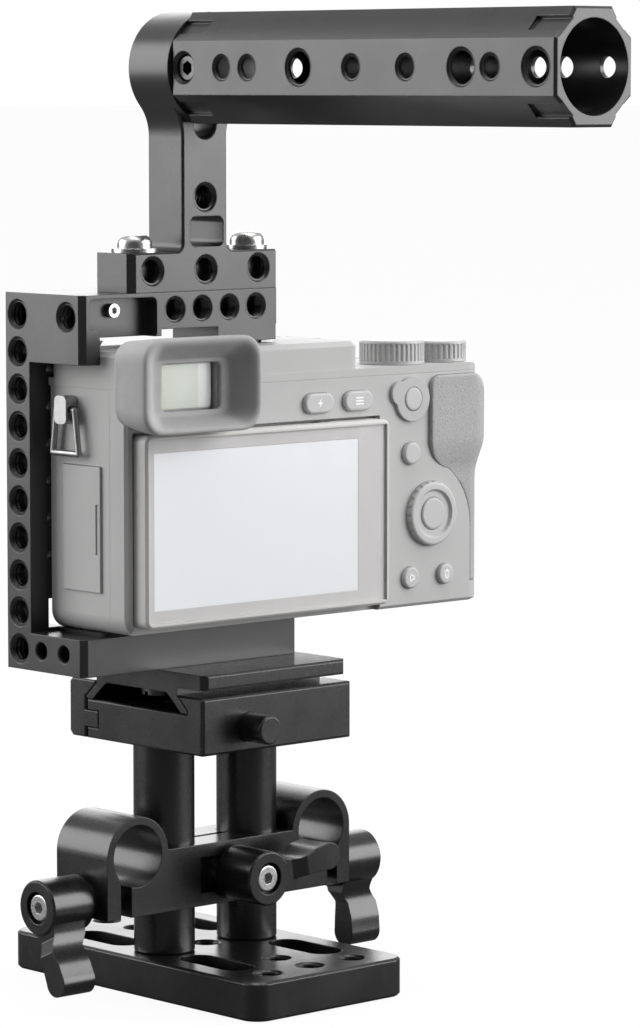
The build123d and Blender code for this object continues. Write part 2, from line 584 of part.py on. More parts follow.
# --------------------------------------------------------------------- handle
def make_handle_bracket():
    plane = Plane(origin=(0, BRACKET_FRONT, 0), x_dir=(1, 0, 0), z_dir=(0, -1, 0))
    foot = Pos((FOOT_LEFT + BLOCK_RIGHT) / 2, (CAGE_TOP + FOOT_TOP) / 2) * Rectangle(
        BLOCK_RIGHT - FOOT_LEFT, FOOT_TOP - CAGE_TOP)
    upright = Pos(HANDLE_X, (FOOT_TOP + HANDLE_Z) / 2 - 1) * Rectangle(
        2 * BRACKET_HALF, HANDLE_Z - FOOT_TOP + 2)
    knuckle = Pos(HANDLE_X, HANDLE_Z) * Circle(KNUCKLE_R)
    outline = foot + upright + knuckle
    necks = [v for v in outline.vertices() if 212 < v.Y < 216]
    outline = fillet(ShapeList(necks), 11.0)
    roots = [v for v in outline.vertices() if abs(v.Y - FOOT_TOP) < 0.1 and abs(v.X - HANDLE_X) < 8]
    outline = fillet(ShapeList(roots), 2.0)
    bracket = extrude(plane * outline, BRACKET_FRONT - BRACKET_BACK)
    back_corner = [e for e in bracket.edges().filter_by(Axis.Z)
                   if e.center().X < FOOT_LEFT + 0.1 and e.center().Y < BRACKET_BACK + 0.1]
    bracket = chamfer(ShapeList(back_corner), 1.6)
    bracket = chamfer(edges_at(bracket, "y", BRACKET_FRONT - 0.1, BRACKET_FRONT + 0.1), 0.5)
    upright_back = [e for e in edges_at(bracket, "y", BRACKET_BACK - 0.1, BRACKET_BACK + 0.1)
                    if FOOT_TOP + 3 < e.center().Z < HANDLE_Z - 8]
    bracket = chamfer(ShapeList(upright_back), 0.5)
    bracket += along_y(KNUCKLE_BACK, BRACKET_BACK + 1, HANDLE_X, HANDLE_Z, KNUCKLE_R)
    bracket += along_y(-24.0, KNUCKLE_BACK, HANDLE_X, HANDLE_Z, TUBE_BORE - SEAT_FIT)
    window = rounded(-13.7, -3.1, BRACKET_BACK - 1, BRACKET_FRONT + 1, 182.4, 189.7, 1.6, Axis.Y)
    bracket -= window
    for z in UPRIGHT_HOLES:
        bracket -= tapped_y(BRACKET_BACK, BRACKET_FRONT - BRACKET_BACK + 1, HANDLE_X, z)
    # The upper hole also runs through the knuckle's collar.
    bracket -= along_y(KNUCKLE_BACK, BRACKET_BACK + 0.1, HANDLE_X, UPRIGHT_HOLES[1], TAP_R + 0.5)
    for x in FOOT_HOLES:
        bracket -= tapped_y(BRACKET_BACK, 3.8, x, FOOT_HOLE_Z)
    for x in HANDLE_SCREWS:
        bracket -= along_z(CAGE_TOP - 1, FOOT_TOP + 1, x, HANDLE_SCREW_Y, 2.2)
    bracket -= along_x(-40, 40, SET_SCREW_Y, HANDLE_Z, TAP_R)
    return bracket


def make_handle_screws():
    """Domed hex socket screws through the bracket's foot."""
    screws = []
    for x in HANDLE_SCREWS:
        top = FOOT_TOP + 1.0
        head = along_z(top, top + 3.2, x, HANDLE_SCREW_Y, 4.2)
        head = fillet(head.edges().group_by(Axis.Z)[-1], 2.2)
        shank = along_z(165.0, top, x, HANDLE_SCREW_Y, 2.0)
        socket = hexagon(Plane(origin=(x, HANDLE_SCREW_Y, top + 1.4)), 2.5, 3)
        screws.append(head + shank - socket)
    return Compound(children=screws)


def make_handle_washers():
    washers = []
    for x in HANDLE_SCREWS:
        # The right-hand washer stops short of the end of the foot.
        radius = 5.6 if x < 0 else 3.7 + 1.2
        ring = along_z(FOOT_TOP, FOOT_TOP + 1.0, x, HANDLE_SCREW_Y, radius)
        washers.append(ring - along_z(FOOT_TOP - 1, FOOT_TOP + 2, x, HANDLE_SCREW_Y, 2.0 + SEAT_FIT))
    return Compound(children=washers)


def tube_outline():
    """Half octagon corner with gently hollowed bevels, mirrored into the whole section."""
    corner_a = (TUBE_HALF_W, TUBE_SIDE)
    corner_b = (TUBE_FLAT, TUBE_HALF_H)
    dip = ((corner_a[0] + corner_b[0]) / 2 - 0.35, (corner_a[1] + corner_b[1]) / 2 - 0.35)
    edges = []
    for sx, sy in ((1, 1), (-1, 1), (-1, -1), (1, -1)):
        a = (sx * corner_a[0], sy * corner_a[1])
        b = (sx * corner_b[0], sy * corner_b[1])
        edges.append(ThreePointArc(a, (sx * dip[0], sy * dip[1]), b))
    for s in (-1, 1):
        edges.append(Line((s * TUBE_HALF_W, -TUBE_SIDE), (s * TUBE_HALF_W, TUBE_SIDE)))
        edges.append(Line((-TUBE_FLAT, s * TUBE_HALF_H), (TUBE_FLAT, s * TUBE_HALF_H)))
    return make_face(Wire.combine(edges)[0])


def make_handle_tube():
    plane = Plane(origin=(HANDLE_X, KNUCKLE_BACK, HANDLE_Z), x_dir=(1, 0, 0), z_dir=(0, -1, 0))
    tube = extrude(plane * tube_outline(), KNUCKLE_BACK - TUBE_END)
    tube = chamfer(edges_at(tube, "y", TUBE_END - 0.1, TUBE_END + 0.1), 0.6)
    tube = chamfer(edges_at(tube, "y", KNUCKLE_BACK - 0.1, KNUCKLE_BACK + 0.1), 0.6)
    tube -= along_y(TUBE_END - 1, KNUCKLE_BACK + 1, HANDLE_X, HANDLE_Z, TUBE_BORE)
    # Milled reliefs along the four bevels at both ends.
    bevel = math.degrees(math.atan2(TUBE_HALF_H - TUBE_SIDE, TUBE_HALF_W - TUBE_FLAT))
    for y0, y1 in ((TUBE_END - 1, -129.5), (-22.0, KNUCKLE_BACK + 1)):
        for turn in (90 - bevel, 90 + bevel, 270 - bevel, 270 + bevel):
            cut = block(-RELIEF_HALF, RELIEF_HALF, y0, y1, RELIEF_AT, 16)
            tube -= Pos(HANDLE_X, 0, HANDLE_Z) * Rot(0, turn, 0) * cut
    left = HANDLE_X - TUBE_HALF_W
    right = HANDLE_X + TUBE_HALF_W
    for y in TUBE_SMALL:
        tube -= tapped_x(left, TUBE_HALF_W, y, HANDLE_Z, TUBE_SMALL_R, 0.35)
    for y in TUBE_LARGE:
        tube -= tapped_x(left, TUBE_HALF_W, y, HANDLE_Z, TUBE_LARGE_R, 0.35)
    for y in TUBE_RIGHT:
        tube -= tapped_x(right, -TUBE_HALF_W, y, HANDLE_Z, TUBE_RIGHT_R, 0.3)
    for mouth, reach in ((left, TUBE_HALF_W), (right, -TUBE_HALF_W)):
        tube -= tapped_x(mouth, reach, SET_SCREW_Y, HANDLE_Z, TAP_R, 0.8)
    return tube


def make_tube_set_screws():
    screws = []
    for s in (-1, 1):
        start, stop = sorted((HANDLE_X + s * 5.0, HANDLE_X + s * SET_SCREW_FACE))
        screw = along_x(start, stop, SET_SCREW_Y, HANDLE_Z, TAP_R - SEAT_FIT)
        screw = chamfer(screw.edges().filter_by(GeomType.CIRCLE), 0.4)
        face = Plane(origin=(HANDLE_X + s * SET_SCREW_FACE, SET_SCREW_Y, HANDLE_Z), z_dir=(-s, 0, 0))
        screws.append(screw - hexagon(face, 3.0, 2.6))
    return Compound(children=screws)


# --------------------------------------------------------------- camera, fixed
def camera_outline(y0, y1):
    """Body of the camera up to its lower deck, rounded along its length except at the top left."""
    body = block(CAM_LEFT, CAM_RIGHT, y0, y1, CAM_FOOT, CAM_DECK)
    lengthwise = body.edges().filter_by(Axis.Y)
    top_left = edges_at(body, "z", CAM_DECK - 0.1, CAM_DECK + 0.1, Axis.Y).group_by(Axis.X)[0]
    return fillet(lengthwise - top_left, 4.5)


def rear_corner(x_right, y_back, radius):
    """Block behind the cover joint whose upright edge at the rear right is rounded."""
    body = block(CAM_LEFT - 1, x_right, y_back, COVER_Y, CAM_FOOT - 1, CAM_DECK + 1)
    upright = [e for e in body.edges().filter_by(Axis.Z) if e.center().X > 0 and e.center().Y < y_back + 0.1]
    return fillet(ShapeList(upright), radius)


def make_camera_shell():
    shell = camera_outline(COVER_Y, CAM_FRONT)
    shell = chamfer(shell.edges().group_by(Axis.Y)[-1], 0.8)
    shell -= block(CAM_LEFT - 1, CAM_RIGHT + 1, COVER_Y - 1, CAM_FRONT + 1, SEAM_Z, CAM_DECK + 1)
    wall = SHELL_WALL
    shell -= block(
        CAM_LEFT + wall, CAM_RIGHT - wall, COVER_Y - 1, CAM_FRONT - wall, CAM_FOOT + wall, SEAM_Z - wall)
    shell += along_y(CAM_FRONT - wall, MOUNT_FACE - 1.2, LENS_X, LENS_Z, 31.0, 29.6)
    shell -= block(CAM_LEFT, CAM_RIGHT, COVER_Y, CAM_FRONT, SEAM_Z, SEAM_Z + 10)
    shell -= along_y(CAM_FRONT - wall - 1, MOUNT_FACE + 1, LENS_X, LENS_Z, THROAT_R + 0.6)
    # Tripod boss that the camera screw holds.
    shell += along_z(CAM_FOOT + 1, CAM_FOOT + 7, SCREW_X, SCREW_Y, 6.0)
    shell -= along_z(CAM_FOOT - 1, CAM_FOOT + 6, SCREW_X, SCREW_Y, 3.2)
    # Opening for the battery, closed by its door.
    shell -= block(50.0, 71.0, -10.0, CAM_FRONT + 1, CAM_FOOT - 1, CAM_FOOT + wall + 0.5)
    # Opening for the sockets, closed by their door.
    shell -= block(CAM_LEFT - 1, CAM_LEFT + wall + 1, -11.1, 3.1, 100.9, 131.1)
    return shell


def make_rear_cover():
    cover = camera_outline(CAM_BACK, COVER_Y)
    cover = chamfer(edges_at(cover, "y", CAM_BACK - 0.05, CAM_BACK + 0.05), 0.8)
    cover -= block(CAM_LEFT - 1, CAM_RIGHT + 1, CAM_BACK - 1, COVER_Y + 1, SEAM_Z, CAM_DECK + 1)
    cover &= rear_corner(CAM_RIGHT, CAM_BACK, CAM_CORNER)
    cover -= block(
        SCREEN_LEFT - 0.5, SCREEN_RIGHT + 0.5, CAM_BACK - 1, -17.5, CAM_FOOT - 1, SCREEN_HIGH + 0.6)
    for x, z in PILLS.values():
        slot = Plane(origin=(x, CAM_BACK - 1, z), x_dir=(1, 0, 0), z_dir=(0, 1, 0)) * SlotOverall(
            PILL_L + 2 * RUN_FIT, PILL_H + 2 * RUN_FIT)
        cover -= extrude(slot, BUTTON_POCKET - CAM_BACK + 1)
    for x, z, r in ROUNDS.values():
        cover -= along_y(CAM_BACK - 1, BUTTON_POCKET, x, z, r + RUN_FIT)
    cover -= along_y(CAM_BACK - 1, -16.6, WHEEL_X, WHEEL_Z, WHEEL_R + RUN_FIT)
    cover -= along_y(CAM_BACK - 1, BUTTON_POCKET + 0.6, WHEEL_X, WHEEL_Z, CENTRE_R + RUN_FIT)
    # Saddle under the thumb rest.
    cover -= thumb_outline(0) - rear_corner(
        CAM_RIGHT - THUMB_WRAP, THUMB_SEAT, CAM_CORNER - THUMB_WRAP)
    # Ears that hold the hinge at the top of the screen arm.
    for side in (-1, 1):
        start, stop = sorted((side * 20.05, side * 22.5))
        ear = along_x(start, stop, ARM_PIVOT[0], ARM_PIVOT[1], 0.8)
        ear += block(start, stop, ARM_PIVOT[0], -17.4, ARM_PIVOT[1] - 0.8, ARM_PIVOT[1] + 0.8)
        cover += ear - along_x(start - 1, stop + 1, *ARM_PIVOT, PIVOT_R + RUN_FIT)
    return cover


def thumb_outline(inset):
    """Prism over the thumb rest: a broad pad that narrows to a strip down the right edge."""
    left = 57.2 + inset
    strip = 71.6 + inset
    top = 148.8 - inset
    foot = 96.0 + inset
    right = CAM_RIGHT + 4
    bend = (left + 6.6, 125.2 + inset)
    outline = make_face(Wire([
        Line((left, 131.8), (left, top - 3)),
        RadiusArc((left, top - 3), (left + 3, top), 3.0),
        Line((left + 3, top), (right, top)),
        Line((right, top), (right, foot)),
        Line((right, foot), (strip, foot)),
        Line((strip, foot), (strip, 110.0)),
        ThreePointArc((strip, 110.0), (strip - 2.6, 119.6 + inset), bend),
        ThreePointArc(bend, (left + 1.9, 127.6 + inset), (left, 131.8)),
    ]))
    plane = Plane(origin=(0, COVER_Y - inset, 0), x_dir=(1, 0, 0), z_dir=(0, -1, 0))
    return extrude(plane * outline, 12)


def make_thumb_rest():
    """Rubber pad that bulges over the rear right corner and thins into a flush strip below."""
    right = CAM_RIGHT + THUMB_BULGE
    proud = rear_corner(right, THUMB_BACK, CAM_CORNER + 1.5)
    front_edge = [e for e in proud.edges().filter_by(Axis.Z)
                  if e.center().X > 0 and e.center().Y > COVER_Y - 0.1]
    proud = fillet(ShapeList(front_edge), 1.8)
    proud -= block(0, right + 1, THUMB_BACK - 1, COVER_Y + 1, CAM_FOOT - 2, THUMB_STEP_Z)
    flush = rear_corner(CAM_RIGHT, CAM_BACK, CAM_CORNER)
    core = rear_corner(
        CAM_RIGHT - THUMB_WRAP + RUN_FIT, THUMB_SEAT - RUN_FIT, CAM_CORNER - THUMB_WRAP + RUN_FIT)
    rest = thumb_outline(RUN_FIT) & (proud + flush)
    rest -= core
    # Gentle slope from the proud part down to the flush part.
    under = THUMB_STEP_Z - 1
    slope = outline_x(
        [(THUMB_BACK - 1, under), (CAM_BACK - 0.1, under), (THUMB_BACK - 1, under + 12)], 0, right + 1)
    rest -= slope
    # Outline of the right edge: rounded at the top, drawn in below.
    side = make_face(Polyline(
        (0, 152), (right, 152), (right, THUMB_STEP_Z + 9), (CAM_RIGHT, THUMB_STEP_Z), (CAM_RIGHT, 90),
        (0, 90),
        close=True))
    upper = [v for v in side.vertices() if v.X > CAM_RIGHT + 1]
    side = fillet(ShapeList(upper), 5.5)
    plane = Plane(origin=(0, COVER_Y + 1, 0), x_dir=(1, 0, 0), z_dir=(0, -1, 0))
    return rest & extrude(plane * side, 12)


def make_top_cover():
    top = camera_outline(CAM_BACK, CAM_FRONT)
    top -= block(CAM_LEFT - 1, CAM_RIGHT + 1, CAM_BACK - 1, CAM_FRONT + 1, CAM_FOOT - 1, SEAM_Z)
    top -= block(0, CAM_RIGHT + 1, CAM_BACK - 1, COVER_Y, CAM_FOOT, CAM_DECK + 1) - rear_corner(
        CAM_RIGHT, CAM_BACK, CAM_CORNER)
    raised = rounded(CAM_LEFT, 34.0, CAM_BACK + 0.4, CAM_FRONT, CAM_DECK - 1, CAM_TOP, 3.0, Axis.Z)
    raised = chamfer(raised.edges().group_by(Axis.Z)[-1], 1.2)
    top += raised
    # Eyepiece block that the eyecup clips over, and the seat of its window.
    top += block(EYE_LEFT, EYE_RIGHT, EYE_BACK, CAM_BACK - RUN_FIT, EYE_LOW, EYE_HIGH)
    top += block(EYE_LEFT, EYE_RIGHT, EYE_BACK, CAM_BACK + 1, SEAM_Z, CAM_TOP - 0.4)
    top -= block(EYE_X - 9, EYE_X + 9, EYE_BACK - 1, EYE_BACK + 2.5, EYE_Z - 6.2, EYE_Z + 6.2)
    # Seat of the accessory shoe, and the pocket that the flash folds into.
    top -= block(LENS_X - 10.6, LENS_X + 10.6, -9.0, 7.5, CAM_TOP - 2.4, CAM_TOP + 1)
    top -= block(15.5, 32.5, -7.0, 7.3, CAM_TOP - 3.6, CAM_TOP + 1)
    top -= along_x(14.9, 33.1, *FLASH_PIVOT, 0.4 + RUN_FIT)
    for x, y, r in (MODE_DIAL, CONTROL_DIAL):
        top -= along_z(SEAM_Z - 1, CAM_DECK + 1, x, y, 2.5 + RUN_FIT)
    return top


def make_eyecup():
    """Soft rubber frame round the eyepiece."""
    cup = rounded(-43.5, -10.0, EYECUP_BACK, CAM_BACK - 0.1, 141.0, 162.4, 5.0, Axis.Y)
    cup = fillet(cup.edges().group_by(Axis.Y)[0], 2.0)
    cup -= block(
        EYE_LEFT - SEAT_FIT, EYE_RIGHT + SEAT_FIT, EYE_BACK - SEAT_FIT, CAM_BACK + 1,
        EYE_LOW - SEAT_FIT, EYE_HIGH + SEAT_FIT)
    mouth = Plane(origin=(EYE_X, EYECUP_BACK - 0.5, EYE_Z + 1.2), x_dir=(1, 0, 0), z_dir=(0, 1, 0))
    throat = Plane(origin=(EYE_X, EYE_BACK + 0.5, EYE_Z), x_dir=(1, 0, 0), z_dir=(0, 1, 0))
    funnel = loft([mouth * RectangleRounded(26.0, 16.4, 3.0), throat * RectangleRounded(19.4, 13.2, 2.0)])
    return cup - funnel


def make_eyepiece_glass():
    """Window of the viewfinder."""
    gap = SEAT_FIT
    glass = rounded(
        EYE_X - 9 + gap, EYE_X + 9 - gap, EYE_BACK + 0.8, EYE_BACK + 2.5,
        EYE_Z - 6.2 + gap, EYE_Z + 6.2 - gap,
        0.6, Axis.Y)
    return glass


def make_lens_mount():
    ring = along_y(MOUNT_FACE - 1.2, MOUNT_FACE, LENS_X, LENS_Z, 28.6)
    ring += along_y(CAM_FRONT - SHELL_WALL, MOUNT_FACE - 1.2, LENS_X, LENS_Z, THROAT_R + 0.55)
    ring -= along_y(CAM_FRONT - 5, MOUNT_FACE + 1, LENS_X, LENS_Z, THROAT_R)
    for i in range(4):
        angle = math.radians(45 + 90 * i)
        x = LENS_X + 26 * math.cos(angle)
        z = LENS_Z + 26 * math.sin(angle)
        ring -= along_y(MOUNT_FACE - 0.6, MOUNT_FACE + 1, x, z, 1.2)
    return ring


def make_image_sensor():
    """Sensor frame and cover glass behind the lens mount."""
    frame = rounded(LENS_X - 19, LENS_X + 19, -6.5, -4.5, LENS_Z - 15, LENS_Z + 15, 2.0, Axis.Y)
    frame += block(LENS_X - 11.75, LENS_X + 11.75, -4.5, -3.9, LENS_Z - 7.8, LENS_Z + 7.8)
    for sx in (-1, 1):
        for sz in (-1, 1):
            frame += along_y(COVER_Y + RUN_FIT, -6.4, LENS_X + sx * 15, LENS_Z + sz * 11, 2.0)
    return frame


def make_hot_shoe():
    left = LENS_X - 10.5
    right = LENS_X + 10.5
    floor = CAM_TOP - 2.35
    shoe = block(left, right, -8.9, 7.4, floor, CAM_TOP + 0.7)
    shoe -= block(LENS_X - SHOE_W / 2 - 0.1, LENS_X + SHOE_W / 2 + 0.1, -10, 6.4, floor + 0.8, CAM_TOP)
    shoe -= block(LENS_X - 6.4, LENS_X + 6.4, -10, 6.4, floor + 0.8, CAM_TOP + 1)
    return shoe


def make_strap_lugs():
    lugs = []
    for side, x in ((-1, CAM_LEFT), (1, CAM_RIGHT)):
        start, stop = sorted((x, x + side * 3.6))
        lug = rounded(start, stop, -2.2, 2.2, 140.8, 147.6, 1.4, Axis.X)
        lug -= along_y(-3, 3, x + side * 1.9, 144.2, 1.15)
        lugs.append(lug)
    return Compound(children=lugs)


# -------------------------------------------------------------- camera, moving
def make_screen_arm():
    """Hinged plate that carries the screen."""
    arm = block(-20, 20, -19.1, -17.65, TILT_PIVOT[1], ARM_PIVOT[1] - 0.6)
    arm += along_x(-20, 20, ARM_PIVOT[0], ARM_PIVOT[1], 0.7)
    arm += block(-20, 20, ARM_PIVOT[0], -18.4, ARM_PIVOT[1] - 1.2, ARM_PIVOT[1])
    arm += along_x(-20, 20, TILT_PIVOT[0], TILT_PIVOT[1], 0.7)
    for y, z in (ARM_PIVOT, TILT_PIVOT):
        arm += along_x(-22.4, 22.4, y, z, PIVOT_R)
    return arm


def make_screen_frame():
    frame = rounded(SCREEN_LEFT, SCREEN_RIGHT, SCREEN_BACK, SCREEN_FACE, SCREEN_LOW, SCREEN_HIGH, 2.0, Axis.Y)
    frame = chamfer(frame.edges().group_by(Axis.Y)[0], 0.6)
    frame -= block(
        SCREEN_LEFT + 1.2, SCREEN_RIGHT - 1.2, SCREEN_BACK - 1, SCREEN_BACK + 0.7,
        SCREEN_LOW + 1.2, SCREEN_HIGH - 1.2)
    frame -= block(LCD_LEFT, LCD_RIGHT, SCREEN_BACK, SCREEN_BACK + 2.0, LCD_LOW, LCD_HIGH)
    # Relief for the barrel and bent end of the arm.
    frame -= block(-23, 23, ARM_PIVOT[0] - 0.95, SCREEN_FACE + 1, ARM_PIVOT[1] - 1.5, SCREEN_HIGH + 1)
    # Ears that turn on the foot of the arm.
    y, z = TILT_PIVOT
    for side in (-1, 1):
        start, stop = sorted((side * 20.05, side * 22.5))
        ear = along_x(start, stop, y, z, 0.8) + block(start, stop, SCREEN_FACE - 0.5, y, z - 0.8, z + 0.8)
        frame += ear - along_x(start - 1, stop + 1, y, z, PIVOT_R + RUN_FIT)
    return frame


def make_lcd_panel():
    gap = SEAT_FIT
    return block(
        LCD_LEFT + gap, LCD_RIGHT - gap, SCREEN_BACK + 0.72, SCREEN_BACK + 2.0, LCD_LOW + gap, LCD_HIGH - gap)


def make_screen_glass():
    gap = SEAT_FIT
    return block(
        SCREEN_LEFT + 1.2 + gap, SCREEN_RIGHT - 1.2 - gap, SCREEN_BACK + 0.05, SCREEN_BACK + 0.7,
        SCREEN_LOW + 1.2 + gap, SCREEN_HIGH - 1.2 - gap)


def make_control_wheel():
    wheel = along_y(CAM_BACK - 1.7, -16.8, WHEEL_X, WHEEL_Z, WHEEL_R)
    wheel = fillet(wheel.edges().group_by(Axis.Y)[0], 0.8)
    dish = along_y(CAM_BACK - 2, CAM_BACK - 1.0, WHEEL_X, WHEEL_Z, 6.4, 5.6)
    wheel -= dish
    wheel -= along_y(CAM_BACK - 3, -15, WHEEL_X, WHEEL_Z, CENTRE_R + RUN_FIT)
    notches = 24
    for i in range(notches):
        angle = 2 * math.pi * i / notches
        x = WHEEL_X + (WHEEL_R + 0.25) * math.cos(angle)
        z = WHEEL_Z + (WHEEL_R + 0.25) * math.sin(angle)
        wheel -= along_y(CAM_BACK - 2, CAM_BACK - 0.4, x, z, 0.5)
    return wheel


def make_wheel_button():
    button = along_y(CAM_BACK - 1.5, BUTTON_IN + 0.6, WHEEL_X, WHEEL_Z, CENTRE_R)
    return fillet(button.edges().group_by(Axis.Y)[0], 0.6)


def make_round_button(x, z, r):
    button = along_y(CAM_BACK - BUTTON_OUT, BUTTON_IN, x, z, r)
    return fillet(button.edges().group_by(Axis.Y)[0], 0.6)


def make_pill_button(x, z):
    plane = Plane(origin=(x, CAM_BACK - BUTTON_OUT, z), x_dir=(1, 0, 0), z_dir=(0, 1, 0))
    button = extrude(plane * SlotOverall(PILL_L, PILL_H), BUTTON_IN - CAM_BACK + BUTTON_OUT)
    return fillet(button.edges().group_by(Axis.Y)[0], 0.6)


def make_ael_switch():
    """Flat lever that turns round its button."""
    x, z, r = ROUNDS["ael_button"]
    back = CAM_BACK - 0.9
    lever = along_y(back, CAM_BACK - RUN_FIT, x, z, 5.6)
    lever += along_y(back, CAM_BACK - RUN_FIT, x - 4.2, z + 1.6, 3.0)
    lever -= along_y(back - 1, CAM_BACK + 1, x, z, r + RUN_FIT)
    return lever


def make_dial(x, y, r, top, ribs):
    """Ribbed dial on a short spindle."""
    dial = along_z(CAM_DECK + RUN_FIT, top, x, y, r)
    dial = fillet(dial.edges().group_by(Axis.Z)[-1], 0.7)
    for i in range(ribs):
        angle = 2 * math.pi * i / ribs
        rib_x = x + (r + 0.2) * math.cos(angle)
        rib_y = y + (r + 0.2) * math.sin(angle)
        dial -= along_z(CAM_DECK + 0.9, top - 0.9, rib_x, rib_y, 0.45)
    dial += along_z(SEAM_Z + 0.2, CAM_DECK + 1, x, y, 2.5)
    return dial


def make_hand_grip():
    grip = rounded(GRIP_LEFT, CAM_RIGHT, CAM_FRONT, GRIP_FRONT, CAM_FOOT + 0.3, GRIP_TOP, 7.0, Axis.Z)
    grip = fillet(grip.edges().group_by(Axis.Z)[-1], 2.0)
    grip += block(GRIP_LEFT + 1, CAM_RIGHT, CAM_FRONT, CAM_FRONT + 8, CAM_FOOT + 0.3, GRIP_TOP - 2)
    x, y = SHUTTER
    grip -= along_z(GRIP_TOP - 5, GRIP_TOP + 1, x, y, 3.0 + RUN_FIT)
    grip -= block(50.0, 71.0, CAM_FRONT - 1, 26.0, CAM_FOOT - 1, 140.0)
    return grip


def make_power_switch():
    x, y = SHUTTER
    ring = along_z(GRIP_TOP + RUN_FIT, GRIP_TOP + 2.2, x, y, 7.0)
    ring = chamfer(ring.edges().group_by(Axis.Z)[-1], 0.5)
    ring += block(x - 1.6, x + 1.6, y + 5.5, y + 8.4, GRIP_TOP + 0.3, GRIP_TOP + 1.8)
    return ring - along_z(GRIP_TOP - 1, GRIP_TOP + 4, x, y, 4.6 + RUN_FIT)


def make_shutter_button():
    x, y = SHUTTER
    button = along_z(GRIP_TOP + 1.6, GRIP_TOP + 3.4, x, y, 4.6)
    button = fillet(button.edges().group_by(Axis.Z)[-1], 0.9)
    return button + along_z(GRIP_TOP - 3, GRIP_TOP + 2, x, y, 3.0)


def make_flash_head():
    """Flash head that folds into the top cover, with its hinge pins."""
    head = block(15.7, 32.3, -6.8, 7.0, CAM_TOP - 3.3, CAM_TOP)
    rear = head.edges().filter_by(Axis.X).group_by(Axis.Y)[0].group_by(Axis.Z)[-1]
    head = fillet(rear, 0.9)
    front = head.edges().filter_by(Axis.X).group_by(Axis.Y)[-1]
    head = chamfer(front, 0.6)
    head += along_x(15.1, 32.9, *FLASH_PIVOT, 0.4)
    return head - block(17.2, 30.8, 6.4, 8.0, CAM_TOP - 2.6, CAM_TOP - 0.8)


def make_port_door():
    """Flexible cover over the sockets, hinged along its front edge."""
    door = block(CAM_LEFT - 0.6, CAM_LEFT + 0.6, -11.0, 2.4, 101.0, 131.0)
    door += along_z(101.0, 131.0, CAM_LEFT, 2.4, 0.6)
    return door - block(CAM_LEFT - 1, CAM_LEFT - 0.3, -10.6, -9.4, 110.0, 122.0)


def make_battery_door():
    door = block(50.2, 70.8, -9.0, 25.8, CAM_FOOT, CAM_FOOT + 1.6)
    door += along_x(50.2, 70.8, -9.0, CAM_FOOT + 0.8, 0.8)
    return door - block(58, 63, 22.0, 24.0, CAM_FOOT - 1, CAM_FOOT + 0.6)


def make_strap_ring():
    """Wire triangle hanging from the left lug."""
    x = CAM_LEFT - 1.9
    wire_r = 0.75
    corners = [Vector(x, -3.4, 144.2), Vector(x, -4.8, 133.8), Vector(x, 4.8, 133.8), Vector(x, 3.4, 144.2)]
    ring = Pos(*corners[0]) * Sphere(wire_r)
    for start, stop in zip(corners, corners[1:] + corners[:1]):
        span = stop - start
        ring += Plane(origin=start, z_dir=span) * Pos(0, 0, span.length / 2) * Cylinder(wire_r, span.length)
        ring += Pos(*stop) * Sphere(wire_r)
    return ring


# ----------------------------------------------------------------------- write
os.makedirs("parts", exist_ok=True)

lever = lever_in_own_frame()
left_place = side_lever_place(-1, 25.0)
right_place = side_lever_place(1, 0.0)
middle_place = post_lever_place(8.0)
side_screw = lever_screw(17.0)
middle_screw = lever_screw(14.0)

save("baseplate", make_baseplate())
save("post_left", make_post(-1))
save("post_right", make_post(1))
save("post_screws", make_post_screws())
save("rod_clamp_block", make_rod_clamp())
save("clamp_washers", make_washers())
save("left_lever", left_place * lever)
save("left_lever_screw", left_place * side_screw)
save("right_lever", right_place * mirror(lever, about=Plane.XZ))
save("right_lever_screw", right_place * side_screw)
save("post_lever", middle_place * lever)
save("post_lever_screw", middle_place * middle_screw)
save("release_base", make_release_base())
save("release_jaw", make_release_jaw())
save("jaw_knob", make_jaw_knob())
save("jaw_screw", make_jaw_screw())
save("lock_button", make_lock_button())
save("release_plate", make_release_plate())
save("plate_screws", make_plate_screws())
save("cage_frame", make_cage())
save("cage_screw", make_cage_screw())
save("camera_screw", make_camera_screw())
save("camera_pad", make_camera_pad())
save("handle_bracket", make_handle_bracket())
save("handle_screws", make_handle_screws())
save("handle_washers", make_handle_washers())
save("handle_tube", make_handle_tube())
save("tube_set_screws", make_tube_set_screws())
save("camera_shell", make_camera_shell())
save("camera_rear_cover", make_rear_cover())
save("camera_top_cover", make_top_cover())
save("hand_grip", make_hand_grip())
save("thumb_rest", make_thumb_rest())
save("lens_mount", make_lens_mount())
save("image_sensor", make_image_sensor())
save("hot_shoe", make_hot_shoe())
save("eyecup", make_eyecup())
save("eyepiece_glass", make_eyepiece_glass())
save("strap_lugs", make_strap_lugs())
save("strap_ring", make_strap_ring())
save("screen_arm", make_screen_arm())
save("screen_frame", make_screen_frame())
save("lcd_panel", make_lcd_panel())
save("screen_glass", make_screen_glass())
save("control_wheel", make_control_wheel())
save("wheel_button", make_wheel_button())
save("ael_switch", make_ael_switch())
for name, (x, z, r) in ROUNDS.items():
    save(name, make_round_button(x, z, r))
for name, (x, z) in PILLS.items():
    save(name, make_pill_button(x, z))
save("mode_dial", make_dial(*MODE_DIAL, 157.6, 40))
save("control_dial", make_dial(*CONTROL_DIAL, 156.9, 32))
save("power_switch", make_power_switch())
save("shutter_button", make_shutter_button())
save("flash_head", make_flash_head())
save("port_door", make_port_door())
save("battery_door", make_battery_door())
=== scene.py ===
import json
import math

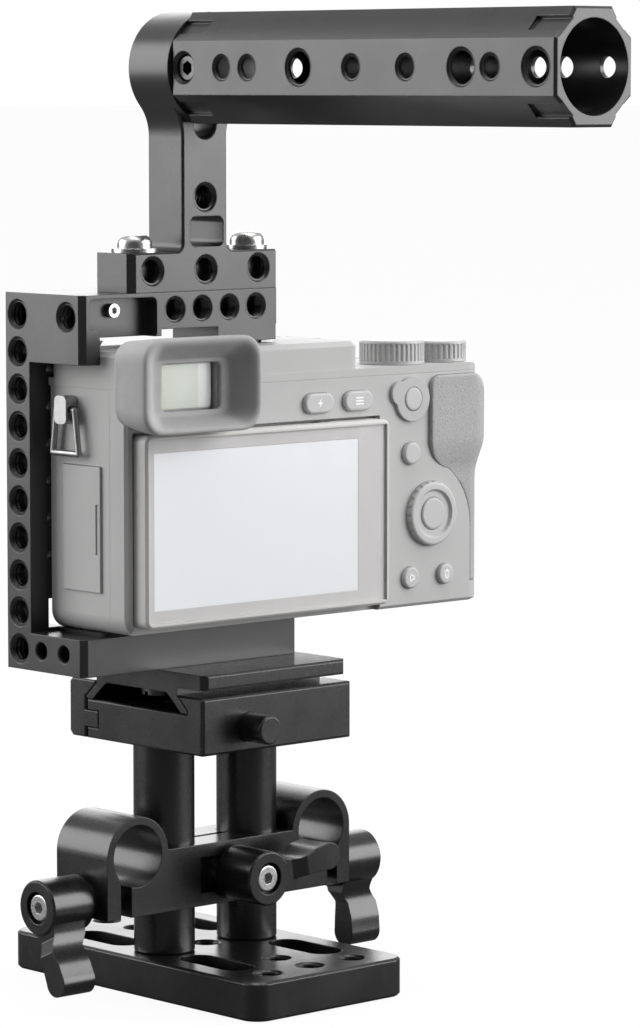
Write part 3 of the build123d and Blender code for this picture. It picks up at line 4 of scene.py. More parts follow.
import bpy
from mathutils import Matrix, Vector


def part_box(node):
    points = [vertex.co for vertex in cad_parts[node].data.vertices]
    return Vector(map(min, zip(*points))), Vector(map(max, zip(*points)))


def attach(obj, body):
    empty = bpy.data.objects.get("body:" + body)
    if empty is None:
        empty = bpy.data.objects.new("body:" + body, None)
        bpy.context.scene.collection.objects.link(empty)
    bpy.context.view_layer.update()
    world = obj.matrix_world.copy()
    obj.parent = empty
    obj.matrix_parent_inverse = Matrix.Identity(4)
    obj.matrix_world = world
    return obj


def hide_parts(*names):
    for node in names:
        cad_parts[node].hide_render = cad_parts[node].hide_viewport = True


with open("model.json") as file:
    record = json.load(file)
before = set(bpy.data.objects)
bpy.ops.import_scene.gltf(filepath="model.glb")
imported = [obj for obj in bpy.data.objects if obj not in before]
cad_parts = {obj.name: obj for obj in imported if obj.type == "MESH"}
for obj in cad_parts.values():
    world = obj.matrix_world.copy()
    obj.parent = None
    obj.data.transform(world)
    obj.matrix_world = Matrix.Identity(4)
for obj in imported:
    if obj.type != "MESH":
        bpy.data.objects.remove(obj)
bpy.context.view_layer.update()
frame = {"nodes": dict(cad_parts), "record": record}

MM = 0.001
UPPER = "camera_unit"             # body of the camera, its cage and the handle
LOWER = "base"                    # body of the baseplate and the posts

# ------------------------------------------------------------------ node tools


def node(tree, kind, inputs=None, **props):
    """Adds one shader node. A socket given as an input value is linked, anything else is set."""
    made = tree.nodes.new("ShaderNode" + kind)
    for key, value in props.items():
        setattr(made, key, value)
    for key, value in (inputs or {}).items():
        if isinstance(value, bpy.types.NodeSocket):
            tree.links.new(value, made.inputs[key])
        else:
            made.inputs[key].default_value = value
    return made


def new_material(name):
    """Empty node material and its tree."""
    material = bpy.data.materials.new(name)
    material.use_nodes = True
    material.node_tree.nodes.clear()
    return material, material.node_tree


def millimetres(tree):
    """Object coordinates in millimetres."""
    place = node(tree, "TexCoord").outputs["Object"]
    return node(tree, "Mapping", {"Vector": place, "Scale": [1 / MM] * 3}).outputs[0]


def noise(tree, vector, scale, detail=3.0, roughness=0.55):
    """Noise value with a size of about 1 / scale millimetres."""
    inputs = {"Vector": vector, "Scale": scale, "Detail": detail, "Roughness": roughness}
    return node(tree, "TexNoise", inputs).outputs["Fac"]


def remap(tree, value, low, high, to_low, to_high):
    """Linear remap with clamping."""
    made = node(tree, "MapRange", {
        "Value": value, "From Min": low, "From Max": high, "To Min": to_low, "To Max": to_high})
    return made.outputs["Result"]


def spread(tree, value, to_low, to_high):
    """Remap of the range in which a noise value mostly lies."""
    return remap(tree, value, 0.3, 0.7, to_low, to_high)


def math_node(tree, operation, a, b):
    """One arithmetic node."""
    return node(tree, "Math", {0: a, 1: b}, operation=operation).outputs[0]


def add(tree, a, b):
    """Sum of two values."""
    return math_node(tree, "ADD", a, b)


def multiply(tree, a, b):
    """Product of two values."""
    return math_node(tree, "MULTIPLY", a, b)


def dot(tree, a, b):
    """Dot product of two vectors."""
    return node(tree, "VectorMath", {0: a, 1: b}, operation="DOT_PRODUCT").outputs["Value"]


def axis_of(tree, vector, axis):
    """One coordinate of a vector."""
    return node(tree, "SeparateXYZ", {"Vector": vector}).outputs[axis]


def mix_colour(tree, factor, a, b):
    """Colour mix."""
    return node(tree, "Mix", {"Factor": factor, 6: a, 7: b}, data_type="RGBA").outputs[2]


def mix_shader(tree, factor, a, b):
    """Shader mix."""
    return node(tree, "MixShader", {0: factor, 1: a.outputs[0], 2: b.outputs[0]})


def grey(value, warm=0.0):
    """Grey colour with a slight warm or cool cast."""
    return (value * (1 + warm), value, value * (1 - warm), 1.0)


def edge_mask(tree, radius):
    """One along sharp edges, zero on flat and gently curved faces, and the normal rounded there."""
    soft = node(tree, "Bevel", {"Radius": radius * MM}, samples=4).outputs[0]
    aligned = dot(tree, soft, node(tree, "NewGeometry").outputs["Normal"])
    return remap(tree, aligned, 0.995, 0.86, 0.0, 1.0), soft


def facing_away(tree, blend):
    """Zero where a face looks at the viewer, one where it is seen edge on."""
    return node(tree, "LayerWeight", {"Blend": blend}).outputs["Facing"]


def bumped(tree, height, strength, depth, normal=None):
    """Normal disturbed by a height value; depth in millimetres."""
    inputs = {"Strength": strength, "Distance": depth * MM, "Height": height}
    if normal is not None:
        inputs["Normal"] = normal
    return node(tree, "Bump", inputs).outputs[0]


def to_output(tree, shader, kind="OutputMaterial"):
    """Joins a shader to the tree's output."""
    node(tree, kind, {"Surface": shader.outputs[0]})


def finish_surface(tree, **inputs):
    """Principled shader and output; an underscore in a name stands for a space."""
    to_output(tree, node(tree, "BsdfPrincipled", {k.replace("_", " "): v for k, v in inputs.items()}))


# ------------------------------------------------------------------- materials


def anodised(name, tone, roughness, wear):
    """Bead-blasted anodised aluminium: fine grain, faint mottling, edges rubbed a little brighter."""
    material, tree = new_material(name)
    place = millimetres(tree)
    warm = 0.01
    cloud = noise(tree, place, 0.07, 4.0)
    blast = noise(tree, place, 3.2, 2.0, 0.6)
    fine = noise(tree, place, 8.0, 1.0)
    edge, soft_normal = edge_mask(tree, 0.35)
    patches = remap(tree, noise(tree, place, 0.55, 5.0, 0.7), 0.35, 0.7, 0.25, 1.0)
    rubbed = multiply(tree, multiply(tree, edge, patches), wear)
    dark, light = grey(tone * 0.90, warm), grey(tone * 1.12, warm)
    body = mix_colour(tree, spread(tree, cloud, 0.0, 1.0), dark, light)
    grains = remap(tree, blast, 0.35, 0.65, 0.0, 0.35)
    body = mix_colour(tree, grains, body, grey(tone * 1.30, warm))
    colour = mix_colour(tree, rubbed, body, grey(min(1.0, tone * 3.2 + 0.05)))
    rough = add(tree, spread(tree, cloud, -0.03, 0.03), roughness)
    rough = add(tree, rough, spread(tree, fine, -0.04, 0.04))
    normal = bumped(tree, blast, 0.22, 0.02, soft_normal)
    normal = bumped(tree, fine, 0.10, 0.01, normal)
    finish_surface(
        tree, Base_Color=colour, Metallic=0.0, Roughness=rough, Normal=normal, Specular_IOR_Level=0.65)
    return material


def steel(name, tone, roughness):
    """Bright or blackened steel with a fine grain and small scuffs."""
    material, tree = new_material(name)
    place = millimetres(tree)
    grain = noise(tree, place, 2.5)
    scuff = remap(tree, noise(tree, place, 0.5, 5.0, 0.7), 0.35, 0.7, 0.0, 1.0)
    edge, soft_normal = edge_mask(tree, 0.2)
    colour = mix_colour(tree, scuff, grey(tone * 0.86), grey(tone, 0.015))
    bare = grey(min(1.0, tone * 1.3 + 0.08))
    colour = mix_colour(tree, multiply(tree, edge, 0.4), colour, bare)
    rough = add(tree, spread(tree, grain, -0.06, 0.06), roughness)
    normal = bumped(tree, grain, 0.25, 0.015, soft_normal)
    finish_surface(tree, Base_Color=colour, Metallic=1.0, Roughness=rough, Normal=normal)
    return material


def moulded(name, tone, roughness, texture=1.0, warm=0.0, specular=0.4):
    """Fine spark-textured moulded plastic."""
    material, tree = new_material(name)
    place = millimetres(tree)
    grain = noise(tree, place, 4.5, 3.0, 0.65)
    cells = node(tree, "TexVoronoi", {"Vector": place, "Scale": 3.4}).outputs["Distance"]
    cloud = spread(tree, noise(tree, place, 0.05), 0.0, 1.0)
    edge, soft_normal = edge_mask(tree, 0.3)
    colour = mix_colour(tree, cloud, grey(tone * 0.965, warm), grey(tone * 1.03, warm))
    colour = mix_colour(tree, spread(tree, grain, 0.0, 0.30), colour, grey(tone * 1.10, warm))
    worn = grey(min(1.0, tone * 1.35), warm)
    colour = mix_colour(tree, multiply(tree, edge, 0.22), colour, worn)
    rough = add(tree, spread(tree, grain, -0.05, 0.06), roughness)
    height = add(tree, grain, multiply(tree, cells, 0.5))
    normal = bumped(tree, height, 0.28 * texture, 0.03, soft_normal)
    finish_surface(
        tree, Base_Color=colour, Roughness=rough, Normal=normal, Specular_IOR_Level=specular)
    return material


def leatherette(name, tone, pebble):
    """Grained rubber skin: rounded pebbles, in millimetres, with painted shade darkening the creases
    between them.
    """
    material, tree = new_material(name)
    place = millimetres(tree)
    waves = node(tree, "TexNoise", {"Vector": place, "Scale": 0.8, "Detail": 2.0}).outputs["Color"]
    warped = node(tree, "VectorMath", {0: place, 1: waves}, operation="ADD").outputs[0]
    grid = {"Vector": warped, "Scale": 1 / pebble}
    cells = node(tree, "TexVoronoi", grid, feature="SMOOTH_F1").outputs["Distance"]
    creases = node(tree, "TexVoronoi", grid, feature="DISTANCE_TO_EDGE").outputs["Distance"]
    crease_shade = remap(tree, creases, 0.0, 0.16, 1.0, 0.0)
    fine = noise(tree, place, 6.0)
    cloud = spread(tree, noise(tree, place, 0.06), 0.0, 1.0)
    colour = mix_colour(tree, cloud, grey(tone * 0.94), grey(tone * 1.05))
    # painted shade: the creases between the pebbles are darkened
    colour = mix_colour(tree, multiply(tree, crease_shade, 0.55), colour, grey(tone * 0.62))
    rough = add(tree, spread(tree, fine, -0.05, 0.05), 0.62)
    height = math_node(tree, "SUBTRACT", multiply(tree, fine, 0.15), cells)
    normal = bumped(tree, height, 0.55, 0.12)
    finish_surface(tree, Base_Color=colour, Roughness=rough, Normal=normal, Specular_IOR_Level=0.35)
    return material


def soft_rubber(name, tone):
    """Matt moulded rubber with dust patches and a painted sheen that lightens it where it is seen edge
    on.
    """
    material, tree = new_material(name)
    place = millimetres(tree)
    dust = remap(tree, noise(tree, place, 0.35, 5.0, 0.65), 0.35, 0.7, 0.0, 0.5)
    colour = mix_colour(tree, dust, grey(tone), grey(tone * 1.22))
    # painted sheen: lighter where the surface is seen edge on
    edge_on_sheen = multiply(tree, facing_away(tree, 0.25), 0.35)
    colour = mix_colour(tree, edge_on_sheen, colour, grey(min(1, tone * 1.5)))
    normal = bumped(tree, noise(tree, place, 7.0, 2.0), 0.3, 0.02)
    finish_surface(tree, Base_Color=colour, Roughness=0.72, Normal=normal, Specular_IOR_Level=0.25)
    return material


DISPLAY_X = (-37.0, 30.0)         # the painted shading across the display spans this width and height
DISPLAY_Z = (97.0, 135.0)


def blank_display(name):
    """Unlit pale display with a fine pixel grid, a very slight diagonal painted shading and a faint
    painted glow.
    """
    material, tree = new_material(name)
    place = millimetres(tree)
    across = remap(tree, axis_of(tree, place, "X"), *DISPLAY_X, 0.0, 1.0)
    upward = remap(tree, axis_of(tree, place, "Z"), *DISPLAY_Z, 0.0, 1.0)
    # painted shading: the display is darker towards its lower right
    painted_falloff = add(tree, multiply(tree, across, 0.6), multiply(tree, upward, -0.4))
    painted_falloff = remap(tree, painted_falloff, -0.4, 0.6, 0.0, 1.0)
    colour = mix_colour(tree, painted_falloff, (0.79, 0.795, 0.80, 1), (0.72, 0.728, 0.735, 1))
    grid = node(tree, "TexWave", {"Vector": place, "Scale": 1.6}, bands_direction="DIAGONAL")
    lines = multiply(tree, grid.outputs["Fac"], 0.03)
    colour = mix_colour(tree, lines, colour, (0.6, 0.62, 0.66, 1))
    # the emission is a painted glow on an unlit display
    finish_surface(
        tree, Base_Color=colour, Roughness=0.35, Emission_Color=colour, Emission_Strength=0.14)
    return material


def clear_glass(name):
    """Thin cover glass with faint smudges; lets straight light through and shines only on its front."""
    material, tree = new_material(name)
    smudge = noise(tree, millimetres(tree), 0.12, 4.0, 0.6)
    rough = remap(tree, smudge, 0.45, 0.75, 0.03, 0.12)
    gloss = node(tree, "BsdfGlossy", {"Color": (1, 1, 1, 1), "Roughness": rough})
    through = node(tree, "BsdfTransparent", {"Color": (0.99, 0.99, 0.995, 1)})
    steep = math_node(tree, "POWER", facing_away(tree, 0.5), 4.0)
    sheen = remap(tree, steep, 0.0, 1.0, 0.03, 0.6)
    front = math_node(tree, "SUBTRACT", 1.0, node(tree, "NewGeometry").outputs["Backfacing"])
    to_output(tree, mix_shader(tree, multiply(tree, sheen, front), through, gloss))
    return material


SENSOR_WINDOW_Y = -4.2            # the coated window lies in front of this plane


def sensor_surface(name):
    """Dark sensor frame with the iridescent coated window in its middle."""
    material, tree = new_material(name)
    place = millimetres(tree)
    front = math_node(tree, "GREATER_THAN", axis_of(tree, place, "Y"), SENSOR_WINDOW_Y)
    coat = mix_colour(tree, facing_away(tree, 0.5), (0.05, 0.16, 0.13, 1), (0.22, 0.10, 0.30, 1))
    colour = mix_colour(tree, front, grey(0.03), coat)
    rough = spread(tree, noise(tree, place, 1.5), 0.18, 0.30)
    finish_surface(tree, Base_Color=colour, Metallic=0.3, Roughness=rough)
    return material


OPTIC_REFLECTION_X = (-35.0, -26.0)     # a painted reflection pales the coating across this stretch
OPTIC_HIGHLIGHT_X = (-22.6, -22.0)      # and a painted highlight makes its rim bright from here


def coated_optic(name):
    """Pale green lens coating with a painted reflection that pales it towards its right edge, and a
    painted highlight on that edge.
    """
    material, tree = new_material(name)
    place = millimetres(tree)
    across = axis_of(tree, place, "X")
    # painted reflection and highlight: paler towards the right, bright at the right rim
    painted_reflection = remap(tree, across, *OPTIC_REFLECTION_X, 0.0, 1.0)
    rim_highlight = remap(tree, across, *OPTIC_HIGHLIGHT_X, 0.0, 1.0)
    green = mix_colour(tree, painted_reflection, (0.30, 0.34, 0.22, 1), (0.42, 0.47, 0.40, 1))
    colour = mix_colour(tree, rim_highlight, green, (0.62, 0.63, 0.62, 1))
    finish_surface(
        tree, Base_Color=colour, Roughness=spread(tree, noise(tree, place, 0.9), 0.08, 0.18))
    return material


def painted_mark(name, tone):
    """Printed mark, slightly uneven like pad printing."""
    material, tree = new_material(name)
    uneven = noise(tree, millimetres(tree), 3.0)
    colour = mix_colour(tree, uneven, grey(tone * 0.8), grey(tone * 1.2))
    finish_surface(tree, Base_Color=colour, Roughness=0.5)
    return material


MATERIALS = {
    "anodised_black": anodised("anodised_black", 0.008, 0.27, wear=0.16),
    "anodised_grey": anodised("anodised_grey", 0.022, 0.32, wear=0.18),
    "bright_steel": steel("bright_steel", 0.60, 0.30),
    "dark_steel": steel("dark_steel", 0.10, 0.34),
    "camera_body": moulded("camera_body", 0.46, 0.50, warm=0.004),
    "camera_rubber": leatherette("camera_rubber", 0.42, pebble=0.55),
    "camera_buttons": moulded("camera_buttons", 0.48, 0.38, texture=0.4, specular=0.5),
    "camera_metal": steel("camera_metal", 0.40, 0.42),
    "screen_surround": moulded("screen_surround", 0.58, 0.42, texture=0.5, warm=0.02),
    "display": blank_display("display"),
    "clear_glass": clear_glass("clear_glass"),
    "sensor_glass": sensor_surface("sensor_glass"),
    "pad_rubber": soft_rubber("pad_rubber", 0.02),
}
OPTIC = coated_optic("coated_optic")
EYE_RUBBER = soft_rubber("eyecup_rubber", 0.38)
WHITE_MARK = painted_mark("white_mark", 0.96)

for part in frame["record"]["subparts"]:
    shown = frame["nodes"][part["node"]]
    shown.data.materials.clear()
    shown.data.materials.append(MATERIALS[part["material_slot"]])

# --------------------------------------------------------------- sculpted parts


def shade_smooth(mesh, smooth=True):
    """Smooth or flat shading on every face."""
    for face in mesh.polygons:
        face.use_smooth = smooth


def add_mesh(name, points, faces, material, body, smooth=True):
    """Mesh piece from points in millimetres, riding on one CAD body."""
    data = bpy.data.meshes.new(name)
    data.from_pydata([tuple(MM * v for v in point) for point in points], [], faces)
    data.materials.append(material)
    data.validate()
    shade_smooth(data, smooth)
    made = bpy.data.objects.new(name, data)
    bpy.context.scene.collection.objects.link(made)
    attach(made, body)
    return made


PER_CORNER = 7                    # points of a rounded rectangle on each corner and each side
PER_SIDE = 5


def rounded_ring(cx, y, cz, half_w, half_h, radius):
    """Rounded rectangle in the plane of one y, with the same point count for every size."""
    arcs = []
    for sx, sz, start in ((1, 1, 0), (-1, 1, 90), (-1, -1, 180), (1, -1, 270)):
        ox = cx + sx * (half_w - radius)
        oz = cz + sz * (half_h - radius)
        arc = []
        for k in range(PER_CORNER):
            angle = math.radians(start + 90 * k / (PER_CORNER - 1))
            arc.append((ox + radius * math.cos(angle), y, oz + radius * math.sin(angle)))
        arcs.append(arc)
    ring = []
    for i, arc in enumerate(arcs):
        ring += arc
        end = Vector(arc[-1])
        onward = Vector(arcs[(i + 1) % len(arcs)][0])
        ring += [tuple(end.lerp(onward, (k + 1) / (PER_SIDE + 1))) for k in range(PER_SIDE)]
    return ring


def closed_loft(rings):
    """Quads through rings of equal length; the last ring joins the first."""
    count = len(rings[0])
    points = [point for ring in rings for point in ring]
    faces = []
    for i in range(len(rings)):
        j = (i + 1) % len(rings)
        for k in range(count):
            m = (k + 1) % count
            faces.append((i * count + k, i * count + m, j * count + m, j * count + k))
    return points, faces


# y, centre x, centre z, half width, half height, corner radius
EYECUP_RINGS = (
    (-20.3, -28.80, 151.4, 17.1, 9.9, 4.6),
    (-21.4, -29.05, 151.3, 17.6, 10.2, 4.8),
    (-22.6, -28.95, 151.3, 17.5, 10.2, 4.8),
    (-24.2, -29.00, 151.2, 17.8, 10.5, 4.9),
    (-27.0, -28.90, 151.1, 18.1, 10.9, 5.1),
    (-30.0, -28.70, 151.0, 18.4, 11.3, 5.4),
    (-31.9, -28.60, 151.0, 18.5, 11.4, 5.6),
    (-32.7, -28.60, 151.0, 18.3, 11.3, 5.5),
    (-33.0, -28.55, 151.0, 17.6, 10.7, 5.1),
    (-32.8, -28.45, 150.9, 16.8, 10.1, 4.7),
    (-32.1, -28.30, 150.8, 16.0, 9.5, 4.3),
    (-30.0, -27.80, 150.6, 14.7, 8.5, 3.6),
    (-27.6, -27.20, 150.3, 12.9, 7.4, 2.8),
    (-26.6, -26.95, 150.2, 12.2, 6.9, 2.3),
    (-26.35, -26.80, 150.2, 11.8, 6.7, 2.1),
    (-26.2, -26.70, 150.2, 11.3, 6.4, 1.9),
    (-26.15, -26.70, 150.2, 9.7, 5.9, 1.4),
    (-26.05, -26.70, 150.2, 9.3, 5.7, 1.3),
    (-25.8, -26.70, 150.2, 9.1, 5.6, 1.2),
    (-25.1, -26.70, 150.2, 9.0, 5.6, 1.2),
    (-25.06, -26.70, 150.2, 9.4, 6.0, 1.2),
    (-25.06, -26.75, 151.05, 12.36, 8.85, 0.5),
    (-20.4, -26.75, 151.05, 12.40, 8.9, 0.5),
)
OPTIC_RING = (-26.7, -23.3, 150.2, 8.4, 5.2, 1.0)    # the optic's outline, just behind the window


def make_eyecup():
    """Flared rubber cup with a rolled lip and a stepped window frame, and the optic inside it."""
    points, faces = closed_loft([rounded_ring(cx, y, *rest) for y, cx, *rest in EYECUP_RINGS])
    cup = add_mesh("eyecup_rubber", points, faces, EYE_RUBBER, UPPER)
    soften = cup.modifiers.new("soften", "SUBSURF")
    soften.levels = soften.render_levels = 1
    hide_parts("eyecup")
    corners = rounded_ring(*OPTIC_RING)
    face = tuple(range(len(corners)))
    add_mesh("eyepiece_optic", corners, [face], OPTIC, UPPER, smooth=False)


def softened_copy(name, node_name, voxel, rounds):
    """Copy of a solid with its edges rounded off like moulded rubber, ready to be shaped."""
    copy = bpy.data.objects.new(name, frame["nodes"][node_name].data.copy())
    bpy.context.scene.collection.objects.link(copy)
    remesh = copy.modifiers.new("remesh", "REMESH")
    remesh.mode = "VOXEL"
    remesh.voxel_size = voxel * MM
    smooth = copy.modifiers.new("smooth", "SMOOTH")
    smooth.factor = 0.5
    smooth.iterations = rounds
    bpy.context.view_layer.update()
    shaped = copy.evaluated_get(bpy.context.evaluated_depsgraph_get())
    copy.data = bpy.data.meshes.new_from_object(shaped)
    copy.modifiers.clear()
    copy.data.materials.clear()
    copy.data.materials.append(MATERIALS["camera_rubber"])
    shade_smooth(copy.data)
    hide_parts(node_name)
    return copy


def box_in_mm(node_name):
    """Lowest and highest corner of a CAD node in millimetres."""
    return [[v / MM for v in corner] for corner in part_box(node_name)]


HOLLOWS_FROM_Y = 9.2              # the finger hollows act in front of this plane
FINGER_DIPS = ((131.0, 7.5, 0.11), (112.0, 9.0, 0.05))    # height, spread, depth share
SHANK_ROOM = 3.35                 # radius kept free round the shutter button's shank
SHANK_BELOW = 1.0                 # the free room goes this far below the shank
DOOR_ROOM = 0.3                   # gap kept free round the battery door


def off_the_shank(x, y, axis_x, axis_y):
    """The nearest point outside the room kept free round the button's shank."""
    reach = math.hypot(x - axis_x, y - axis_y)
    if reach == 0 or reach >= SHANK_ROOM:
        return x, y
    stretch = SHANK_ROOM / reach
    return axis_x + (x - axis_x) * stretch, axis_y + (y - axis_y) * stretch


def off_the_door(x, y, low, high):
    """The nearest point beside or in front of the door."""
    left, right, front = low[0] - DOOR_ROOM, high[0] + DOOR_ROOM, high[1] + DOOR_ROOM
    if not (left < x < right and y < front):
        return x, y
    if front - y < min(x - left, right - x):
        return x, front
    return (left if x - left < right - x else right), y


def make_hand_grip():
    """Hand grip with hollows for the fingers, clear of the shutter button and the battery door."""
    grip = softened_copy("hand_grip_rubber", "hand_grip", 0.55, 4)
    button_low, button_high = box_in_mm("shutter_button")
    door_low, door_high = box_in_mm("battery_door")
    axis_x, axis_y = ((button_low[i] + button_high[i]) / 2 for i in (0, 1))
    for vertex in grip.data.vertices:
        x, y, z = (v / MM for v in vertex.co)
        if y > HOLLOWS_FROM_Y:
            dips = sum(deep * math.exp(-((z - at) / wide) ** 2) for at, wide, deep in FINGER_DIPS)
            y = HOLLOWS_FROM_Y + (y - HOLLOWS_FROM_Y) * (1.0 - dips)
        if z > button_low[2] - SHANK_BELOW:
            x, y = off_the_shank(x, y, axis_x, axis_y)
        if z < door_high[2] + DOOR_ROOM:
            x, y = off_the_door(x, y, door_low, door_high)
        vertex.co.x, vertex.co.y = x * MM, y * MM
    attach(grip, UPPER)


CAMERA_RIGHT = 76.2
CAMERA_BACK = -20.0
CAMERA_CORNER = 5.0
PAD_TOP = 148.8
PAD_ROUND = 5.0                   # radius of the pad's top right corner
PAD_CORNER_X = 70.0               # that corner is rounded to the right of this
PAD_BULGE = 3.0                   # the pad stands this far beyond the camera's side
PAD_BLEND = (122.6, 133.0)        # the bulge fades in between these heights


def drawn_in(x, y):
    """The nearest point inside the camera's rounded rear right corner."""
    ox, oy = CAMERA_RIGHT - CAMERA_CORNER, CAMERA_BACK + CAMERA_CORNER
    if x > ox and y < oy:
        reach = math.hypot(x - ox, y - oy)
        if reach > CAMERA_CORNER:
            return ox + (x - ox) * CAMERA_CORNER / reach, oy + (y - oy) * CAMERA_CORNER / reach
        return x, y
    return min(x, CAMERA_RIGHT), max(y, CAMERA_BACK)


def make_thumb_rest():
    """Rubber thumb rest whose bulge fades out downwards."""
    pad = softened_copy("thumb_rest_rubber", "thumb_rest", 0.30, 3)
    low, high = PAD_BLEND
    for vertex in pad.data.vertices:
        x, y, z = (v / MM for v in vertex.co)
        share = min(max((z - low) / (high - low), 0.0), 1.0)
        share = share * share * (3 - 2 * share)
        flush_x, flush_y = drawn_in(x, y)
        x = flush_x + (x - flush_x) * share
        y = flush_y + (y - flush_y) * share
        rise = z - (PAD_TOP - PAD_ROUND)
        if rise > 0 and x > PAD_CORNER_X:
            drop = PAD_ROUND - math.sqrt(max(PAD_ROUND ** 2 - rise ** 2, 0.0))
            x -= drop * (x - PAD_CORNER_X) / (CAMERA_RIGHT + PAD_BULGE - PAD_CORNER_X)
        vertex.co.x, vertex.co.y = x * MM, y * MM
    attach(pad, UPPER)


# ------------------------------------------------------------------ thread turns

X, Y, Z = (1, 0, 0), (0, 1, 0), (0, 0, 1)
STEPS_PER_TURN = 24
THREAD_DEPTH = 0.42

# radius and pitch of the threads
QUARTER_INCH = (3.19, 1.27)
SMALL = (2.89, 0.8)
TUBE_SMALL = (2.88, 0.5)
TUBE_LARGE = (4.18, 0.5)


def thread_mesh(mouth, inward, across, length, radius, pitch):
    """Helical thread inside one hole: points and faces from the mouth inward."""
    mouth, inward, across = Vector(mouth), Vector(inward), Vector(across)
    other = inward.cross(across)
    turns = int(length / pitch) + 2
    points = []
    faces = []
    for i in range(turns * STEPS_PER_TURN + 1):
        angle = 2 * math.pi * i / STEPS_PER_TURN
        spoke = across * math.cos(angle) + other * math.sin(angle)
        start = (i / STEPS_PER_TURN - 1) * pitch
        for share, r in ((0.0, radius), (0.5, radius - THREAD_DEPTH), (1.0, radius)):
            deep = min(max(start + share * pitch, 0.0), length)
            points.append(tuple(mouth + inward * deep + spoke * r))
        if i:
            for j in (0, 1):
                a = 3 * (i - 1) + j
                faces.append((a, a + 1, a + 4, a + 3))
    return points, faces


def make_threads(name, body, material_name, holes):
    """One piece with the threads of many holes: (mouth, inward, across, length, radius, pitch)."""
    points = []
    faces = []
    for hole in holes:
        more_points, more_faces = thread_mesh(*hole)
        faces += [tuple(len(points) + v for v in face) for face in more_faces]
        points += more_points
    add_mesh(name, points, faces, MATERIALS[material_name], body, smooth=False)


def baseplate_threads():
    """Three holes down the middle and three at each end."""
    floor, length = 0.6, 8.2
    inner_y, outer_y, outer_x = 26.2, 38.2, 13.6
    places = [(0, inner_y), (0, -inner_y), (0, 0)]
    places += [(x, side * outer_y) for x in (-outer_x, 0, outer_x) for side in (-1, 1)]
    holes = [((x, y, floor), Z, X, length, *QUARTER_INCH) for x, y in places]
    make_threads("baseplate_threads", LOWER, "anodised_black", holes)


def cage_threads():
    """The column of holes up the cage's side, one in its top corner, and four in its top bar."""
    side_x, side_depth = -47.2, 3.3
    column_y, column_foot, column_step, column_count = 13.35, 85.9, 8.96, 10
    corner_y, corner_z = -5.0, 166.5
    bar_y, bar_z, bar_depth = -10.4, 167.6, 3.0
    places = [(column_y, column_foot + column_step * k) for k in range(column_count)]
    places.append((corner_y, corner_z))
    holes = [((side_x, y, z), X, Y, side_depth, *QUARTER_INCH) for y, z in places]
    holes += [((x, bar_y, bar_z), Y, X, bar_depth, *SMALL) for x in (-18.7, -10.1, -1.4, 7.2)]
    make_threads("cage_threads", UPPER, "anodised_black", holes)


def bracket_threads():
    """Three holes in the bracket's foot and one through its upright."""
    back_y = -10.2
    foot_z, foot_depth = 176.9, 3.2
    upright_x, upright_z, upright_depth = -8.9, 194.3, 12.0
    holes = [((x, back_y, foot_z), Y, X, foot_depth, *QUARTER_INCH) for x in (-25.6, -8.7, 8.2)]
    holes.append(((upright_x, back_y, upright_z), Y, X, upright_depth, *QUARTER_INCH))
    make_threads("bracket_threads", UPPER, "anodised_black", holes)


def handle_threads():
    """Two sizes of holes through the tube's left wall."""
    tube_x, tube_z, wall = -20.7, 225.2, 0.9
    rows = ((TUBE_SMALL, (-30.4, -39.4, -75.0, -92.8, -119.8)), (TUBE_LARGE, (-57.2, -110.7, -134.0)))
    holes = [((tube_x, y, tube_z), X, Y, wall, *size) for size, row in rows for y in row]
    make_threads("handle_threads", UPPER, "anodised_grey", holes)


# ---------------------------------------------------------------- printed marks

MARK_PROUD = 0.04                 # a mark stands this far out of its control
MARK_UNDER = 0.03                 # and goes this far into it


def printed(name, node_name, shapes, on_top=False):
    """Thin raised marks on a control's back or top; shapes are outlines in mm from its middle."""
    low, high = box_in_mm(node_name)
    middle_x, middle_y, middle_z = ((a + b) / 2 for a, b in zip(low, high))
    points = []
    faces = []
    for shape in shapes:
        first = len(points)
        count = len(shape)
        for sink in (-MARK_PROUD, MARK_UNDER):
            for u, v in shape:
                if on_top:
                    points.append((middle_x + u, middle_y + v, high[2] - sink))
                else:
                    points.append((middle_x + u, low[1] + sink, middle_z + v))
        faces.append(tuple(first + k for k in range(count)))
        faces.append(tuple(first + count + k for k in reversed(range(count))))
        for k in range(count):
            m = (k + 1) % count
            faces.append((first + k, first + count + k, first + count + m, first + m))
    add_mesh(name, points, faces, WHITE_MARK, node_name, smooth=False)


def bar(u0, v0, u1, v1, width):
    """Outline of a straight stroke."""
    along = Vector((u1 - u0, v1 - v0)).normalized() * (width / 2)
    du, dv = -along.y, along.x
    return [(u0 + du, v0 + dv), (u1 + du, v1 + dv), (u1 - du, v1 - dv), (u0 - du, v0 - dv)]


